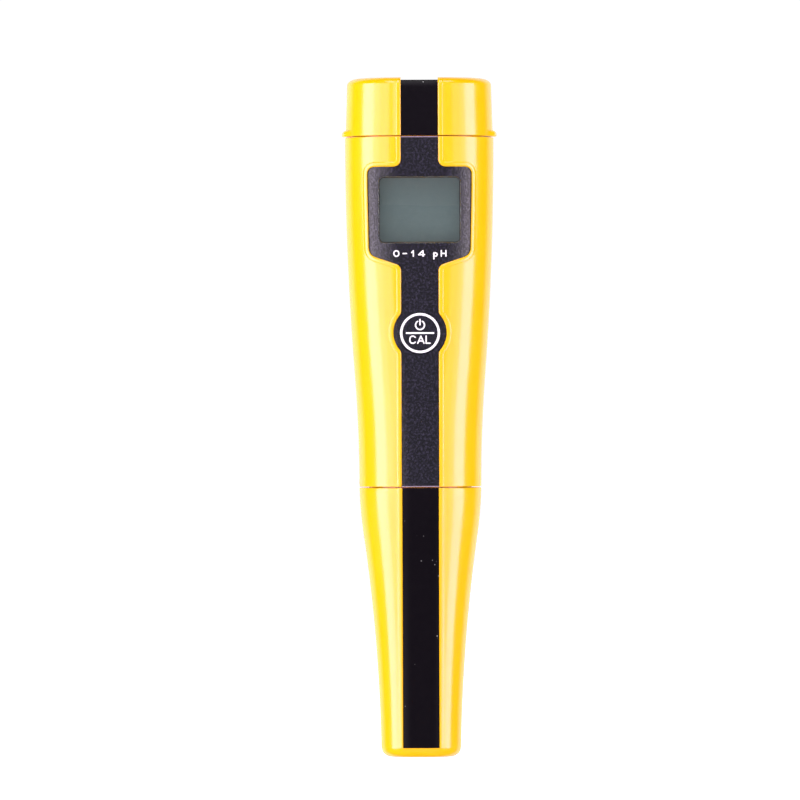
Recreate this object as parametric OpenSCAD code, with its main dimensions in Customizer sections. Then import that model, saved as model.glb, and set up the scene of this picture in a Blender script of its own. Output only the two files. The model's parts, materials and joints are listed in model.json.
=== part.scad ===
// Pen-type digital pH meter standing upright in its electrode cap.
// +Z runs up the pen and the display faces -Y. The origin is the middle of the flat base.

/* [Body] */
// Length from the base of the electrode cap to the top of the battery cap
total_l = 185; // [183:0.5:187]
// Height of the seam between the electrode cap and the housing
seam_low = 73.6; // [73.2:0.1:74]
// Height of the seam between the housing and the battery cap
seam_high = 169; // [168.6:0.1:169.4]
// Half the width of the housing at the height where its taper turns from full to hollow
bend_half_w = 17.85; // [17.8:0.05:17.9]
// Radius of the rounded sides of the housing
side_r = 16.65; // [16.55:0.05:16.75]
// Distance from the middle to the flat front and to the flat back
flat_y = 16.1; // [16:0.05:16.2]
// Thickness of the housing wall
wall = 2; // [1.9:0.05:2.05]
// Gap between neighbouring shells at the seams
seam_gap = 0.3; // [0.25:0.05:0.35]

/* [Front film] */
// Half the width of the black centre stripe
stripe_half_w = 5.05; // [4.9:0.05:5.2]
// Half the width of the bezel round the display
bezel_half_w = 14.1; // [13.9:0.1:14.3]
// Height of the top edge of the bezel
bezel_top = 160.6; // [160.2:0.1:161]
// Depth of the film's surface below the yellow surface
film_sink = 0.3; // [0.25:0.05:0.35]
// Thickness of the film
film_t = 0.3; // [0.25:0.05:0.35]
// Radius of the round bulge at the key
bulge_r = 7.2; // [7:0.05:7.4]

/* [Display] */
// Width of the window
window_w = 22.4; // [22:0.1:22.8]
// Height of the window
window_h = 18.2; // [17.8:0.1:18.6]
// Height of the middle of the window
window_z = 148.95; // [148.5:0.05:149.4]
// Radius of the corners of the window
window_r = 1.6; // [1.2:0.1:2]

/* [Key] */
// Height of the middle of the key
key_z = 115.45; // [115:0.05:116]
// Radius of the key disc
key_r = 5.8; // [5.7:0.05:5.9]
// Outer radius of the printed ring
ring_r = 5.44; // [5.4:0.02:5.5]
// Travel of the key
key_travel = 0.4; // [0.3:0.05:0.45]

/* [Electrode] */
// Radius of the electrode barrel
barrel_r = 6; // [5.9:0.05:6]
// Height of the tip of the electrode
tip_z = 12; // [11.5:0.1:12.5]
// Outer radius of the retaining nut
nut_r = 10.2; // [10:0.05:10.3]
// Number of grip grooves round the retaining nut
nut_grooves = 18; // [12:1:24]

/* [Batteries] */
// Radius of a button cell
cell_r = 5.8; // [5.7:0.05:5.8]
// Height of a button cell
cell_h = 5.4; // [5.2:0.05:5.4]
// Distance of each stack of cells from the middle
cell_x = 6.4; // [6.3:0.05:6.5]

/* [Hidden] */
$fn = 96;

// The silhouette leans in from the upper seam to the lower one along two tangent arcs. The direction at
// the bend is a cosine and a sine of few digits, so that the two arcs meet exactly.
bend_z = 104;
bend_cos = 0.99712;
bend_sin = 0.07584;
bend_slope = asin(bend_sin);
bend_x = bend_half_w - side_r;
upper_path_r = 850;
upper_path_x = bend_x - upper_path_r * bend_cos;
upper_path_z = bend_z + upper_path_r * bend_sin;
lower_path_r = 400;
lower_path_x = bend_x + lower_path_r * bend_cos;
lower_path_z = bend_z - lower_path_r * bend_sin;
seam_half_w = lower_path_x - lower_path_r + side_r;

// The electrode cap narrows along a convex and then a hollow stretch: its slope changes evenly in each
cap_bend_z = 61;
cap_slope_seam = 0.02;
cap_slope_bend = 0.145;
cap_slope_base = 0.02;
cap_corner_r = 2.7;
cap_wall = 2.1;
cap_floor = 2.4;
cap_bore_r = 14.3;
cap_bore_z = 64;
cap_chord = sqrt(pow(seam_half_w, 2) - pow(flat_y, 2));
cap_base_half_w = cap_half(cap_corner_r);
cap_stripe_half_w = 4.93;
cap_stripe_low = 2.6;
profile_step = 3.8;

function lean(u, s0, s1, l) = s0 * u + (s1 - s0) * u * u / (2 * l);
function cap_upper(z) =
    seam_half_w - lean(seam_low - z, cap_slope_seam, cap_slope_bend, seam_low - cap_bend_z);
function cap_half(z) =
    z >= cap_bend_z
        ? cap_upper(z)
        : cap_upper(cap_bend_z) - lean(cap_bend_z - z, cap_slope_bend, cap_slope_base, cap_bend_z - 4);
function cap_flat(z) = sqrt(pow(cap_half(z), 2) - pow(cap_chord, 2));

// Battery cap
lobe_x = 3.65;
bcap_low = seam_high + seam_gap / 2;
bcap_r_low = 16.47;
bcap_r_high = 15.99;
bcap_flat_low = 16;
bcap_flat_high = 15.5;
bcap_crown_w = 3;
bcap_crown_h = 1.8;
bcap_wall = 2.2;
bcap_stripe_half_w = 5;
bcap_stripe_end = 0.75;
skirt_r = 14.35;
skirt_flat = 13.8;
skirt_inner_r = 12.9;
skirt_inner_flat = 12.3;
skirt_low = 164;
bcap_oring_z = 166.6;

// Housing
house_low = seam_low + seam_gap / 3;
house_high = seam_high - seam_gap / 2;
floor_z = 76;
spigot_r = 14;
spigot_inner_r = 11;
spigot_low = 65.6;
neck_r = 8.3;
neck_root_r = 7.75;
neck_low = 52.3;
thread_pitch = 1.5;
thread_turns = 5;
barrel_fit = 0.1;
neck_oring_z = 69.8;
neck_oring_r = 13.55;
neck_oring_wire = 0.7;

// Display stack, from the window inwards
lcd_lip_y = -13.1;
lcd_front_y = -10.4;
lcd_w = 24;
lcd_h = 19.6;
lcd_rear_h = 15.6;
lcd_glass_t = 1;
reflector_t = 0.2;
board_front_y = -7.2;
board_t = 1.2;
board_back_y = board_front_y + board_t;

// Board and carrier
board_low = 84;
board_step_z = 134;
board_high = 163.4;
board_half_w = 11;
board_wide_half_w = 12.6;
screw_x = 9;
screw_zs = [92, 131];
carrier_y = -2.6;
carrier_low = 88;
carrier_high = 150;

// Key stack
key_face_y = -(flat_y - film_sink);
key_disc_t = 0.6;
plunger_end_y = -11.55;
switch_face_y = -10.4;
switch_w = 6;

// Battery compartment
tray_y = 3.2;
tray_r = 7.1;
tray_high = 168.4;
cell_low = 158;

// Electrode
barrel_inner_r = 4.9;
barrel_high = 76;
guard_high = 19.5;
collar_low = 50.3;
collar_high = 52;
stem_x = -1.2;
stem_r = 2.6;
bulb_r = 3.2;
bulb_z = 17.6;
probe_x = 3.7;
probe_r = 0.9;
plug_low = 66;
plug_high = 78;
nut_low = 47.2;
nut_lip_high = 50;
nut_high = 60.5;

// Printing
print_t = 0.05;
caption_h = 1.85;
caption_z = 136.12;
stroke_w = 0.36;

// ---- helpers ----

// A shape drawn in X and Z, extruded along Y from y0 to y1
module along_y(y0, y1) {
    translate([0, y1, 0])
        rotate([90, 0, 0])
            linear_extrude(y1 - y0)
                children();
}

// A shape drawn in Y and Z, extruded along X from x0 to x1
module along_x(x0, x1) {
    translate([x0, 0, 0])
        rotate([90, 0, 90])
            linear_extrude(x1 - x0)
                children();
}

// A round rod along Y
module rod_y(r, y0, y1) {
    translate([0, y1, 0])
        rotate([90, 0, 0])
            cylinder(r = r, h = y1 - y0);
}

// A flat ring about Z
module ring(r_in, r_out, z0, z1) {
    difference() {
        translate([0, 0, z0])
            cylinder(r = r_out, h = z1 - z0);
        translate([0, 0, z0 - 1])
            cylinder(r = r_in, h = z1 - z0 + 2);
    }
}

// A rectangle with rounded corners, centred
module rounded_rect(w, h, r) {
    square([w - 2 * r, h], center = true);
    square([w, h - 2 * r], center = true);
    for (sx = [-1, 1], sy = [-1, 1])
        translate([sx * (w / 2 - r), sy * (h / 2 - r)])
            circle(r, $fn = 48);
}

// A stroke with round ends from p to q
module stroke(p, q, w = stroke_w) {
    d = q - p;
    translate(p)
        rotate(atan2(d[1], d[0]))
            translate([0, -w / 2])
                square([norm(d), w]);
    for (e = [p, q])
        translate(e)
            circle(w / 2, $fn = 24);
}

// A circle of radius r swept along an arc of radius path_r in the XZ plane
module swept_side(r, path_r, x, z, from, to) {
    translate([x, 0, z])
        rotate([90, 0, 0])
            rotate([0, 0, from])
                rotate_extrude(angle = to - from, $fn = 1080)
                    translate([path_r, 0])
                        circle(r, $fn = 96);
}

// Right half of the housing's outer form, brought in by t all round
module half_tube(t) {
    intersection() {
        union() {
            swept_side(side_r - t, upper_path_r, upper_path_x, upper_path_z, -bend_slope, 0.6);
            swept_side(side_r - t, lower_path_r, lower_path_x, lower_path_z, 180 - bend_slope, 181.8);
        }
        translate([0, -20, 62])
            cube([30, 40, 115]);
    }
}

// The housing's outer form, brought in by t all round, from z0 to z1
module tube(t, z0, z1) {
    intersection() {
        union() {
            half_tube(t);
            mirror([1, 0, 0])
                half_tube(t);
        }
        translate([-30, -(flat_y - t), z0])
            cube([60, 2 * (flat_y - t), z1 - z0]);
    }
}

// The electrode cap's outer form, brought in by t, from the height low up to high
module cap_form(t, low, high) {
    steps = ceil((high - cap_corner_r) / profile_step);
    heights = [for (i = [0 : steps]) cap_corner_r + (high - cap_corner_r) * i / steps];
    corner = [
        for (a = [-90 : 15 : -15])
            [cap_base_half_w - cap_corner_r + cap_corner_r * cos(a) - t, cap_corner_r * (1 + sin(a))]
    ];
    intersection() {
        rotate_extrude()
            polygon(concat(
                [[0, 0]],
                corner,
                [for (z = heights) [cap_half(z) - t, z]],
                [[0, high]]
            ));
        along_x(-25, 25)
            polygon(concat(
                [[-cap_flat(cap_corner_r) + t, low]],
                [for (z = heights) [-cap_flat(z) + t, z]],
                [for (i = [steps : -1 : 0]) [cap_flat(heights[i]) - t, heights[i]]],
                [[cap_flat(cap_corner_r) - t, low]]
            ));
    }
}

// The battery cap's outer form, brought in by t, with its top edge falling away in a quarter ellipse
module bcap_form(t, top) {
    corner = [
        for (a = [0 : 15 : 90])
            [bcap_crown_w * (cos(a) - 1), top - bcap_crown_h * (1 - sin(a))]
    ];
    intersection() {
        union() {
            for (side = [0, 1])
                mirror([side, 0, 0])
                    intersection() {
                        translate([lobe_x, 0, 0])
                            rotate_extrude()
                                polygon(concat(
                                    [[0, bcap_low], [bcap_r_low - t, bcap_low]],
                                    [for (p = corner) [bcap_r_high - t + p[0], p[1]]],
                                    [[0, top]]
                                ));
                        translate([0, -20, bcap_low - 1])
                            cube([25, 40, 20]);
                    }
        }
        along_x(-25, 25)
            polygon(concat(
                [[-bcap_flat_low + t, bcap_low - 1], [bcap_flat_low - t, bcap_low - 1]],
                [for (p = corner) [bcap_flat_high - t + p[0], p[1]]],
                [for (i = [len(corner) - 1 : -1 : 0]) [-bcap_flat_high + t - corner[i][0], corner[i][1]]]
            ));
    }
}

// Two half discs of radius r about the lobe axes, cut flat at +-flat, from z0 to z1
module lobes(r, flat, z0, z1) {
    intersection() {
        union() {
            for (side = [0, 1])
                mirror([side, 0, 0])
                    intersection() {
                        translate([lobe_x, 0, z0])
                            cylinder(r = r, h = z1 - z0);
                        translate([0, -20, z0 - 1])
                            cube([25, 40, z1 - z0 + 2]);
                    }
        }
        translate([-25, -flat, z0])
            cube([50, 2 * flat, z1 - z0]);
    }
}

// Outline of the black film on the housing, drawn in X and Z and grown by g
module film_outline(g) {
    fillet = 2;
    corner = 1.8;
    offset(r = g, $fn = 64)
        offset(r = -fillet, $fn = 64)
            offset(delta = fillet)
                offset(r = corner, $fn = 64)
                    offset(delta = -corner)
                        union() {
                            translate([-stripe_half_w, seam_low - 5])
                                square([2 * stripe_half_w, seam_high - seam_low + 10]);
                            polygon([
                                [-bezel_half_w, bezel_top], [bezel_half_w, bezel_top],
                                [bezel_half_w, 155], [bezel_half_w - 0.35, 136.75],
                                [stripe_half_w, 133.77], [-stripe_half_w, 133.77],
                                [-bezel_half_w + 0.35, 136.75], [-bezel_half_w, 155]
                            ]);
                            translate([0, 115.6])
                                circle(bulge_r);
                        }
}

// ---- electrode cap ----

module electrode_cap() color("gold") {
    difference() {
        cap_form(0, -1, seam_low - seam_gap * 2 / 3);
        cap_hollow();
        difference() {
            along_y(-25, 0)
                translate([-cap_stripe_half_w - 0.05, cap_stripe_low - 0.05])
                    square([2 * cap_stripe_half_w + 0.1, 90]);
            cap_form(film_sink + film_t, -1, 80);
        }
    }
}

// Inside of the electrode cap: a bore for the spigot, and a hollow that follows the outside
module cap_hollow() {
    low = cap_floor;
    steps = 14;
    top = cap_bore_z - 1.5;
    heights = [for (i = [0 : steps]) low + (top - low) * i / steps];
    rotate_extrude()
        polygon(concat(
            [[0, low]],
            [for (z = heights) [cap_half(max(z, 4)) - cap_wall, z]],
            [[cap_bore_r, cap_bore_z], [cap_bore_r, seam_low + 3], [0, seam_low + 3]]
        ));
}

module electrode_cap_stripe() color([0.09, 0.06, 0.10]) {
    intersection() {
        difference() {
            cap_form(film_sink, -1, seam_low - seam_gap * 2 / 3);
            cap_form(film_sink + film_t, -2, 80);
        }
        along_y(-25, 0)
            translate([-cap_stripe_half_w, cap_stripe_low])
                square([2 * cap_stripe_half_w, 90]);
    }
}

module soaking_sponge() color("wheat") {
    sponge_r = 8.3;
    sponge_h = 4.2;
    well_r = 5;
    well_depth = 1.4;
    difference() {
        translate([0, 0, cap_floor])
            cylinder(r = sponge_r, h = sponge_h);
        translate([0, 0, cap_floor + sponge_h - well_depth])
            cylinder(r = well_r, h = well_depth + 1);
    }
}

// ---- housing ----

module housing() color("gold") {
    groove_w = 1.6;
    groove_r = neck_oring_r - neck_oring_wire - 0.02;
    difference() {
        union() {
            difference() {
                tube(0, house_low, house_high);
                tube(wall, floor_z, house_high + 2);
            }
            translate([0, 0, spigot_low])
                cylinder(r = spigot_r, h = floor_z - spigot_low - 1);
        }
        translate([0, 0, spigot_low - 1])
            cylinder(r = spigot_inner_r, h = house_low - spigot_low + 1);
        ring(groove_r, spigot_r + 1, neck_oring_z - groove_w / 2, neck_oring_z + groove_w / 2);
        translate([0, 0, spigot_low])
            cylinder(r = barrel_r + barrel_fit, h = 20);
        difference() {
            along_y(-20, -5)
                film_outline(0.05);
            tube(film_sink + film_t, 60, 176);
        }
        along_y(-20, -8)
            translate([0, window_z])
                rounded_rect(window_w + 0.1, window_h + 0.1, window_r);
        translate([0, 0, key_z])
            rod_y(key_r + 0.2, -20, -8);
    }
    threaded_neck();
}

// Neck below the housing, with a thread for the retaining nut
module threaded_neck() {
    first = neck_low + 0.6;
    teeth = [
        for (i = [0 : thread_turns - 1], k = [0, 1, 2, 3])
            [
                k == 0 || k == 3 ? neck_root_r : neck_r,
                first + thread_pitch * (i + [0, 0.3, 0.45, 0.75][k])
            ]
    ];
    rotate_extrude()
        polygon(concat(
            [[barrel_r + barrel_fit, neck_low], [neck_root_r, neck_low]],
            teeth,
            [
                [neck_root_r, neck_low + 9],
                [neck_root_r, house_low + 1],
                [barrel_r + barrel_fit, house_low + 1]
            ]
        ));
}

module front_overlay() color([0.17, 0.14, 0.21]) {
    difference() {
        intersection() {
            tube(film_sink, house_low, house_high);
            along_y(-20, -5)
                film_outline(0);
        }
        tube(film_sink + film_t, 60, 176);
        along_y(-20, -8)
            translate([0, window_z])
                rounded_rect(window_w, window_h, window_r);
        translate([0, 0, key_z])
            rod_y(key_r + 0.1, -20, -8);
    }
}

module display_window() color([0.7, 0.78, 0.8, 0.35]) {
    pane_t = 1;
    pane_back_y = lcd_lip_y - 0.02;
    along_y(pane_back_y - pane_t, pane_back_y)
        translate([0, window_z])
            rounded_rect(window_w - 0.1, window_h - 0.1, window_r - 0.05);
}

// Caption under the display: the measuring range and the quantity
module overlay_print() color("white") {
    h = caption_h;
    x = [-6.35, -4.1, -1.75, 0.5, 4.27, 6.47];
    along_y(key_face_y - print_t, key_face_y)
        translate([0, caption_z]) {
            translate([x[0], 0])
                digit_zero(h);
            translate([x[1], 0])
                stroke([-0.4, h * 0.5], [0.5, h * 0.5]);
            translate([x[2], 0])
                digit_one(h);
            translate([x[3], 0])
                digit_four(h);
            translate([x[4], 0])
                letter_p(h);
            translate([x[5], 0])
                letter_h(h);
        }
}

module digit_zero(h) {
    w = 1.7;
    translate([0, h / 2])
        difference() {
            rounded_rect(w, h, w / 2 - 0.01);
            rounded_rect(w - 2 * stroke_w, h - 2 * stroke_w, (w - 2 * stroke_w) / 2 - 0.01);
        }
}

module digit_one(h) {
    stroke([0, stroke_w / 2], [0, h - stroke_w / 2]);
    stroke([0, h - stroke_w / 2], [-0.45, h - 0.65]);
}

module digit_four(h) {
    bar_z = 0.6;
    stroke([0.4, stroke_w / 2], [0.4, h - stroke_w / 2]);
    stroke([0.35, h - stroke_w / 2], [-0.8, bar_z]);
    stroke([-0.8, bar_z], [0.8, bar_z]);
}

module letter_p(h) {
    bowl_r = 0.62;
    stroke([-bowl_r + stroke_w / 2, -0.55], [-bowl_r + stroke_w / 2, 1.1]);
    translate([0, bowl_r])
        difference() {
            circle(bowl_r, $fn = 48);
            circle(bowl_r - stroke_w, $fn = 48);
        }
}

module letter_h(h) {
    half = 0.62;
    for (s = [-1, 1])
        stroke([s * half, stroke_w / 2], [s * half, h - stroke_w / 2]);
    stroke([-half, h / 2], [half, h / 2]);
}

// ---- display ----

module lcd_front_glass() color([0.55, 0.62, 0.62, 0.6]) {
    along_y(lcd_front_y, lcd_front_y + lcd_glass_t)
        translate([0, window_z])
            square([lcd_w, lcd_h], center = true);
}

module lcd_rear_glass() color([0.45, 0.52, 0.52, 0.6]) {
    along_y(lcd_front_y + lcd_glass_t, lcd_front_y + 2 * lcd_glass_t)
        translate([0, window_z])
            square([lcd_w, lcd_rear_h], center = true);
}

module lcd_reflector() color("silver") {
    back = lcd_front_y + 2 * lcd_glass_t;
    along_y(back, back + reflector_t)
        translate([0, window_z])
            square([lcd_w - 0.4, lcd_rear_h - 0.4], center = true);
}

module lcd_frame() color([0.12, 0.12, 0.13]) {
    lip_wall = 0.5;
    flange_t = 0.6;
    difference() {
        union() {
            along_y(lcd_lip_y, lcd_front_y)
                translate([0, window_z])
                    rounded_rect(window_w - 0.1, window_h - 0.1, window_r - 0.05);
            along_y(lcd_front_y - flange_t, board_front_y)
                translate([0, window_z])
                    rounded_rect(lcd_w + 1.4, lcd_h + 1.4, 0.6);
        }
        along_y(lcd_lip_y - 1, lcd_front_y + 1)
            translate([0, window_z])
                rounded_rect(window_w - 2 * lip_wall, window_h - 2 * lip_wall, window_r - lip_wall);
        along_y(lcd_front_y, board_front_y + 1)
            translate([0, window_z])
                square([lcd_w + 0.1, lcd_h + 0.1], center = true);
    }
}

module zebra_strips() color("dimgray") {
    strip_z = (lcd_h + lcd_rear_h) / 4;
    for (s = [-1, 1])
        along_y(lcd_front_y + lcd_glass_t, board_front_y)
            translate([0, window_z + s * strip_z])
                square([lcd_w - 2, 1.6], center = true);
}

// ---- electronics ----

module main_board() color("darkgreen") {
    difference() {
        along_y(board_front_y, board_back_y) {
            translate([-board_half_w, board_low])
                square([2 * board_half_w, board_high - board_low]);
            translate([-board_wide_half_w, board_step_z])
                square([2 * board_wide_half_w, board_high - board_step_z]);
        }
        for (s = [-1, 1], z = screw_zs)
            translate([s * screw_x, 0, z])
                rod_y(1.1, -12, 0);
    }
}

// A flat chip with rows of leads along both long sides, lying on the back of the board
module chip(w, h, t, leads) {
    lead_pitch = h / (leads + 1);
    along_y(board_back_y + 0.1, board_back_y + 0.1 + t)
        square([w, h], center = true);
    for (s = [-1, 1], i = [1 : leads])
        along_y(board_back_y, board_back_y + t / 2)
            translate([s * (w / 2 + 0.5), -h / 2 + i * lead_pitch])
                square([1.1, 0.35], center = true);
}

module controller_chip() color([0.1, 0.1, 0.1]) {
    translate([0, 0, 124])
        chip(8, 9, 1.3, 10);
}

module amplifier_chip() color([0.1, 0.1, 0.1]) {
    translate([0, 0, 104])
        chip(3.9, 5, 1.3, 4);
}

module clock_crystal() color("silver") {
    can_r = 1.2;
    translate([6.8, board_back_y + can_r, 108]) {
        cylinder(r = can_r, h = 6);
        for (x = [-0.5, 0.5])
            translate([x, 0, 6])
                cylinder(r = 0.2, h = 2.2);
    }
}

module chip_components() color("tan") {
    for (x = [-6.6, -4.4], i = [0 : 4])
        translate([x, 0, 98 + 2.6 * i])
            along_y(board_back_y, board_back_y + 0.6)
                square([1.7, 0.9], center = true);
    for (i = [0 : 2])
        translate([5, 0, 97 + 2.8 * i])
            along_y(board_back_y, board_back_y + 0.9)
                square([2, 1.25], center = true);
}

module switch_body() color("dimgray") {
    well_r = 1.85;
    difference() {
        along_y(switch_face_y, board_front_y)
            translate([0, key_z])
                square(switch_w, center = true);
        translate([0, 0, key_z])
            rod_y(well_r, switch_face_y - 1, switch_face_y + 1 + key_travel);
    }
}

module board_carrier() color("gainsboro") {
    plate_t = 1.2;
    side_x = 10.5;
    side_depth = 8;
    difference() {
        union() {
            along_y(carrier_y, carrier_y + plate_t)
                translate([-side_x - plate_t, carrier_low])
                    square([2 * (side_x + plate_t), carrier_high - carrier_low]);
            for (s = [-1, 1])
                along_y(carrier_y, carrier_y + side_depth)
                    translate([s * (side_x + plate_t / 2), (carrier_low + carrier_high) / 2])
                        square([plate_t, carrier_high - carrier_low], center = true);
            for (s = [-1, 1], z = screw_zs)
                translate([s * screw_x, 0, z])
                    rod_y(2.1, board_back_y, carrier_y + 0.2);
        }
        for (s = [-1, 1], z = screw_zs)
            translate([s * screw_x, 0, z])
                rod_y(0.9, board_back_y - 1, carrier_y + 0.5);
        along_y(carrier_y - 1, carrier_y + plate_t + 1)
            translate([0, 140])
                rounded_rect(12, 10, 1.5);
    }
}

module board_screws() color("silver") {
    head_t = 1.1;
    for (s = [-1, 1], z = screw_zs)
        translate([s * screw_x, 0, z])
            difference() {
                union() {
                    rod_y(1.8, board_front_y - head_t, board_front_y);
                    rod_y(0.9, board_front_y, carrier_y);
                }
                for (a = [0, 90])
                    rotate([0, a, 0])
                        translate([0, board_front_y - head_t, 0])
                            cube([2.2, 1, 0.4], center = true);
            }
}

// ---- batteries ----

module stadium(r) {
    square([2 * cell_x, 2 * r], center = true);
    for (s = [-1, 1])
        translate([s * cell_x, 0])
            circle(r);
}

module battery_tray() color([0.15, 0.15, 0.16]) {
    slot_w = 3.2;
    difference() {
        translate([0, tray_y, carrier_high])
            linear_extrude(tray_high - carrier_high)
                stadium(tray_r);
        for (s = [-1, 1])
            translate([s * cell_x, tray_y, cell_low - 0.4])
                cylinder(r = cell_r + 0.15, h = 20);
        for (s = [-1, 1])
            translate([s * cell_x - slot_w / 2, tray_y - 12, cell_low - 0.4])
                cube([slot_w, 8, 0.5]);
        translate([0, tray_y, carrier_high - 1])
            linear_extrude(5)
                stadium(tray_r - 1.3);
    }
}

module button_cells() color("silver") {
    rim = 0.5;
    for (s = [-1, 1], k = [0, 1])
        translate([s * cell_x, tray_y, cell_low + k * cell_h])
            rotate_extrude()
                polygon([
                    [0, 0], [cell_r - rim, 0], [cell_r, rim], [cell_r, cell_h - 0.9],
                    [cell_r - 0.6, cell_h - 0.4], [cell_r - 1, cell_h - 0.4],
                    [cell_r - 1, cell_h], [0, cell_h]
                ]);
}

module battery_contacts() color("goldenrod") {
    plate_t = 0.3;
    tab_w = 2.6;
    outside_y = tray_y - tray_r - 0.5;
    for (s = [-1, 1])
        translate([s * cell_x, 0, 0]) {
            translate([0, tray_y, cell_low - plate_t])
                cylinder(r = 4, h = plate_t);
            translate([-tab_w / 2, outside_y, cell_low - plate_t])
                cube([tab_w, tray_y - outside_y, plate_t]);
            translate([-tab_w / 2, outside_y, 152])
                cube([tab_w, plate_t, cell_low - 152]);
            translate([-tab_w / 2, board_back_y, 152])
                cube([tab_w, outside_y - board_back_y + plate_t, plate_t]);
        }
}

module battery_cap_shell() color("gold") {
    skirt_root = bcap_low + 2.5;
    difference() {
        union() {
            difference() {
                bcap_form(0, total_l);
                bcap_form(bcap_wall, total_l - bcap_wall);
                lobes(skirt_inner_r, skirt_inner_flat, bcap_low - 1, skirt_root);
            }
            for (s = [-1, 1])
                thumb_lip(s);
            difference() {
                lobes(skirt_r, skirt_flat, skirt_low, skirt_root);
                lobes(skirt_inner_r, skirt_inner_flat, skirt_low - 1, skirt_root + 1);
                lobes_groove();
            }
        }
        difference() {
            along_y(-25, -14.5)
                translate([-bcap_stripe_half_w - 0.05, bcap_low - 2])
                    square([2 * bcap_stripe_half_w + 0.1, 30]);
            bcap_form(film_sink + film_t, total_l + 5);
        }
        translate([-bcap_stripe_half_w - 0.05, -25, total_l - bcap_stripe_end])
            cube([2 * bcap_stripe_half_w + 0.1, 50, 5]);
    }
}

// Lip at one side of the battery cap, to pull it off with a thumb nail
module thumb_lip(s) {
    lip_x = 19.3;
    lip_out = 21.2;
    lip_h = 1.6;
    intersection() {
        translate([s * (lip_out - 1.1), 0, bcap_low])
            translate([0, 5, 0])
                rotate([90, 0, 0])
                    linear_extrude(10)
                        intersection() {
                            translate([0, 0.55])
                                circle(1.1, $fn = 48);
                            translate([-2, 0])
                                square([4, lip_h]);
                        }
        translate([s > 0 ? lip_x - 3 : -lip_x - 3, -6, bcap_low])
            cube([6, 12, lip_h]);
    }
}

// Groove for the seal round the skirt of the battery cap
module lobes_groove() {
    difference() {
        lobes(skirt_r + 3, skirt_flat + 3, bcap_oring_z - 0.8, bcap_oring_z + 0.8);
        lobes(skirt_r - 0.97, skirt_flat - 1, bcap_oring_z - 2, bcap_oring_z + 2);
    }
}

module battery_cap_oring() color([0.08, 0.08, 0.08]) {
    ring_path = 14;
    wire_r = 0.6;
    intersection() {
        for (side = [0, 1])
            mirror([side, 0, 0])
                intersection() {
                    translate([lobe_x, 0, bcap_oring_z])
                        rotate_extrude()
                            translate([ring_path, 0])
                                circle(wire_r, $fn = 24);
                    translate([0, -20, bcap_oring_z - 2])
                        cube([25, 40, 4]);
                }
        translate([-25, -flat_y + wall + 0.05, bcap_oring_z - 2])
            cube([50, 2 * (flat_y - wall - 0.05), 4]);
    }
}

module battery_cap_stripe() color([0.09, 0.06, 0.10]) {
    intersection() {
        difference() {
            bcap_form(film_sink, total_l + 5);
            bcap_form(film_sink + film_t, total_l + 5);
        }
        along_y(-25, -8)
            translate([-bcap_stripe_half_w, bcap_low])
                square([2 * bcap_stripe_half_w, total_l - bcap_stripe_end - bcap_low]);
    }
}

module contact_carrier() color([0.15, 0.15, 0.16]) {
    carrier_low_z = 169.6;
    difference() {
        lobes(skirt_inner_r - 0.1, skirt_inner_flat - 0.1, carrier_low_z, carrier_low_z + 2.2);
        for (s = [-1, 1])
            translate([s * 3, tray_y, carrier_low_z - 1])
                cylinder(r = 0.8, h = 5);
    }
}

module battery_bridge() color("goldenrod") {
    strip_low = 169.3;
    difference() {
        translate([-cell_x - 3, tray_y - 3, strip_low])
            cube([2 * cell_x + 6, 6, 0.3]);
        for (s = [-1, 1])
            translate([s * 3, tray_y, strip_low - 1])
                cylinder(r = 0.8, h = 3);
    }
}

module bridge_rivets() color("silver") {
    for (s = [-1, 1])
        translate([s * 3, tray_y, 169.15]) {
            cylinder(r = 0.78, h = 2.65);
            cylinder(r = 1.3, h = 0.15);
            translate([0, 0, 2.65])
                cylinder(r = 1.3, h = 0.5);
        }
}

// ---- key ----

module key_disc() color([0.17, 0.14, 0.21]) {
    translate([0, 0, key_z])
        rod_y(key_r, key_face_y, key_face_y + key_disc_t);
}

// Ring, dividing bar, power sign and the word CAL
module key_print() color("white") {
    ring_w = 0.66;
    along_y(key_face_y - print_t, key_face_y)
        translate([0, key_z]) {
            difference() {
                circle(ring_r);
                circle(ring_r - ring_w);
            }
            stroke([-3.65, 0], [3.65, 0], 0.46);
            translate([0, 2.15])
                power_sign();
            translate([0, -2.95])
                word_cal(2.3);
        }
}

module power_sign() {
    sign_r = 1.4;
    line_w = 0.4;
    gap = 1.4;
    difference() {
        circle(sign_r, $fn = 64);
        circle(sign_r - line_w, $fn = 64);
        translate([-gap / 2, 0])
            square([gap, 2]);
    }
    for (s = [-1, 1])
        rotate(s * 32)
            translate([0, sign_r - line_w / 2])
                circle(line_w / 2, $fn = 24);
    stroke([0, 0.1], [0, 1.5], line_w);
}

module word_cal(h) {
    w = 0.38;
    translate([-1.98, h / 2])
        difference() {
            rounded_rect(1.95, h, 0.97);
            rounded_rect(1.95 - 2 * w, h - 2 * w, 0.54);
            translate([0.35, -0.52])
                square([2, 1.04]);
        }
    stroke([-0.62, w / 2], [0.22, h - w / 2], w);
    stroke([0.22, h - w / 2], [1.06, w / 2], w);
    stroke([-0.35, 0.78], [0.8, 0.78], w * 0.8);
    stroke([1.65, w / 2], [1.65, h - w / 2], w);
    stroke([1.65, w / 2], [2.72, w / 2], w);
}

module key_plunger() color([0.12, 0.12, 0.12]) {
    head_back_y = key_face_y + key_disc_t;
    translate([0, 0, key_z]) {
        rod_y(4.9, head_back_y, head_back_y + 1.2);
        rod_y(2, head_back_y + 1.2, plunger_end_y);
    }
}

module switch_stem() color("black") {
    translate([0, 0, key_z])
        rod_y(1.7, plunger_end_y, switch_face_y + 0.5);
}

// ---- electrode ----

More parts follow.
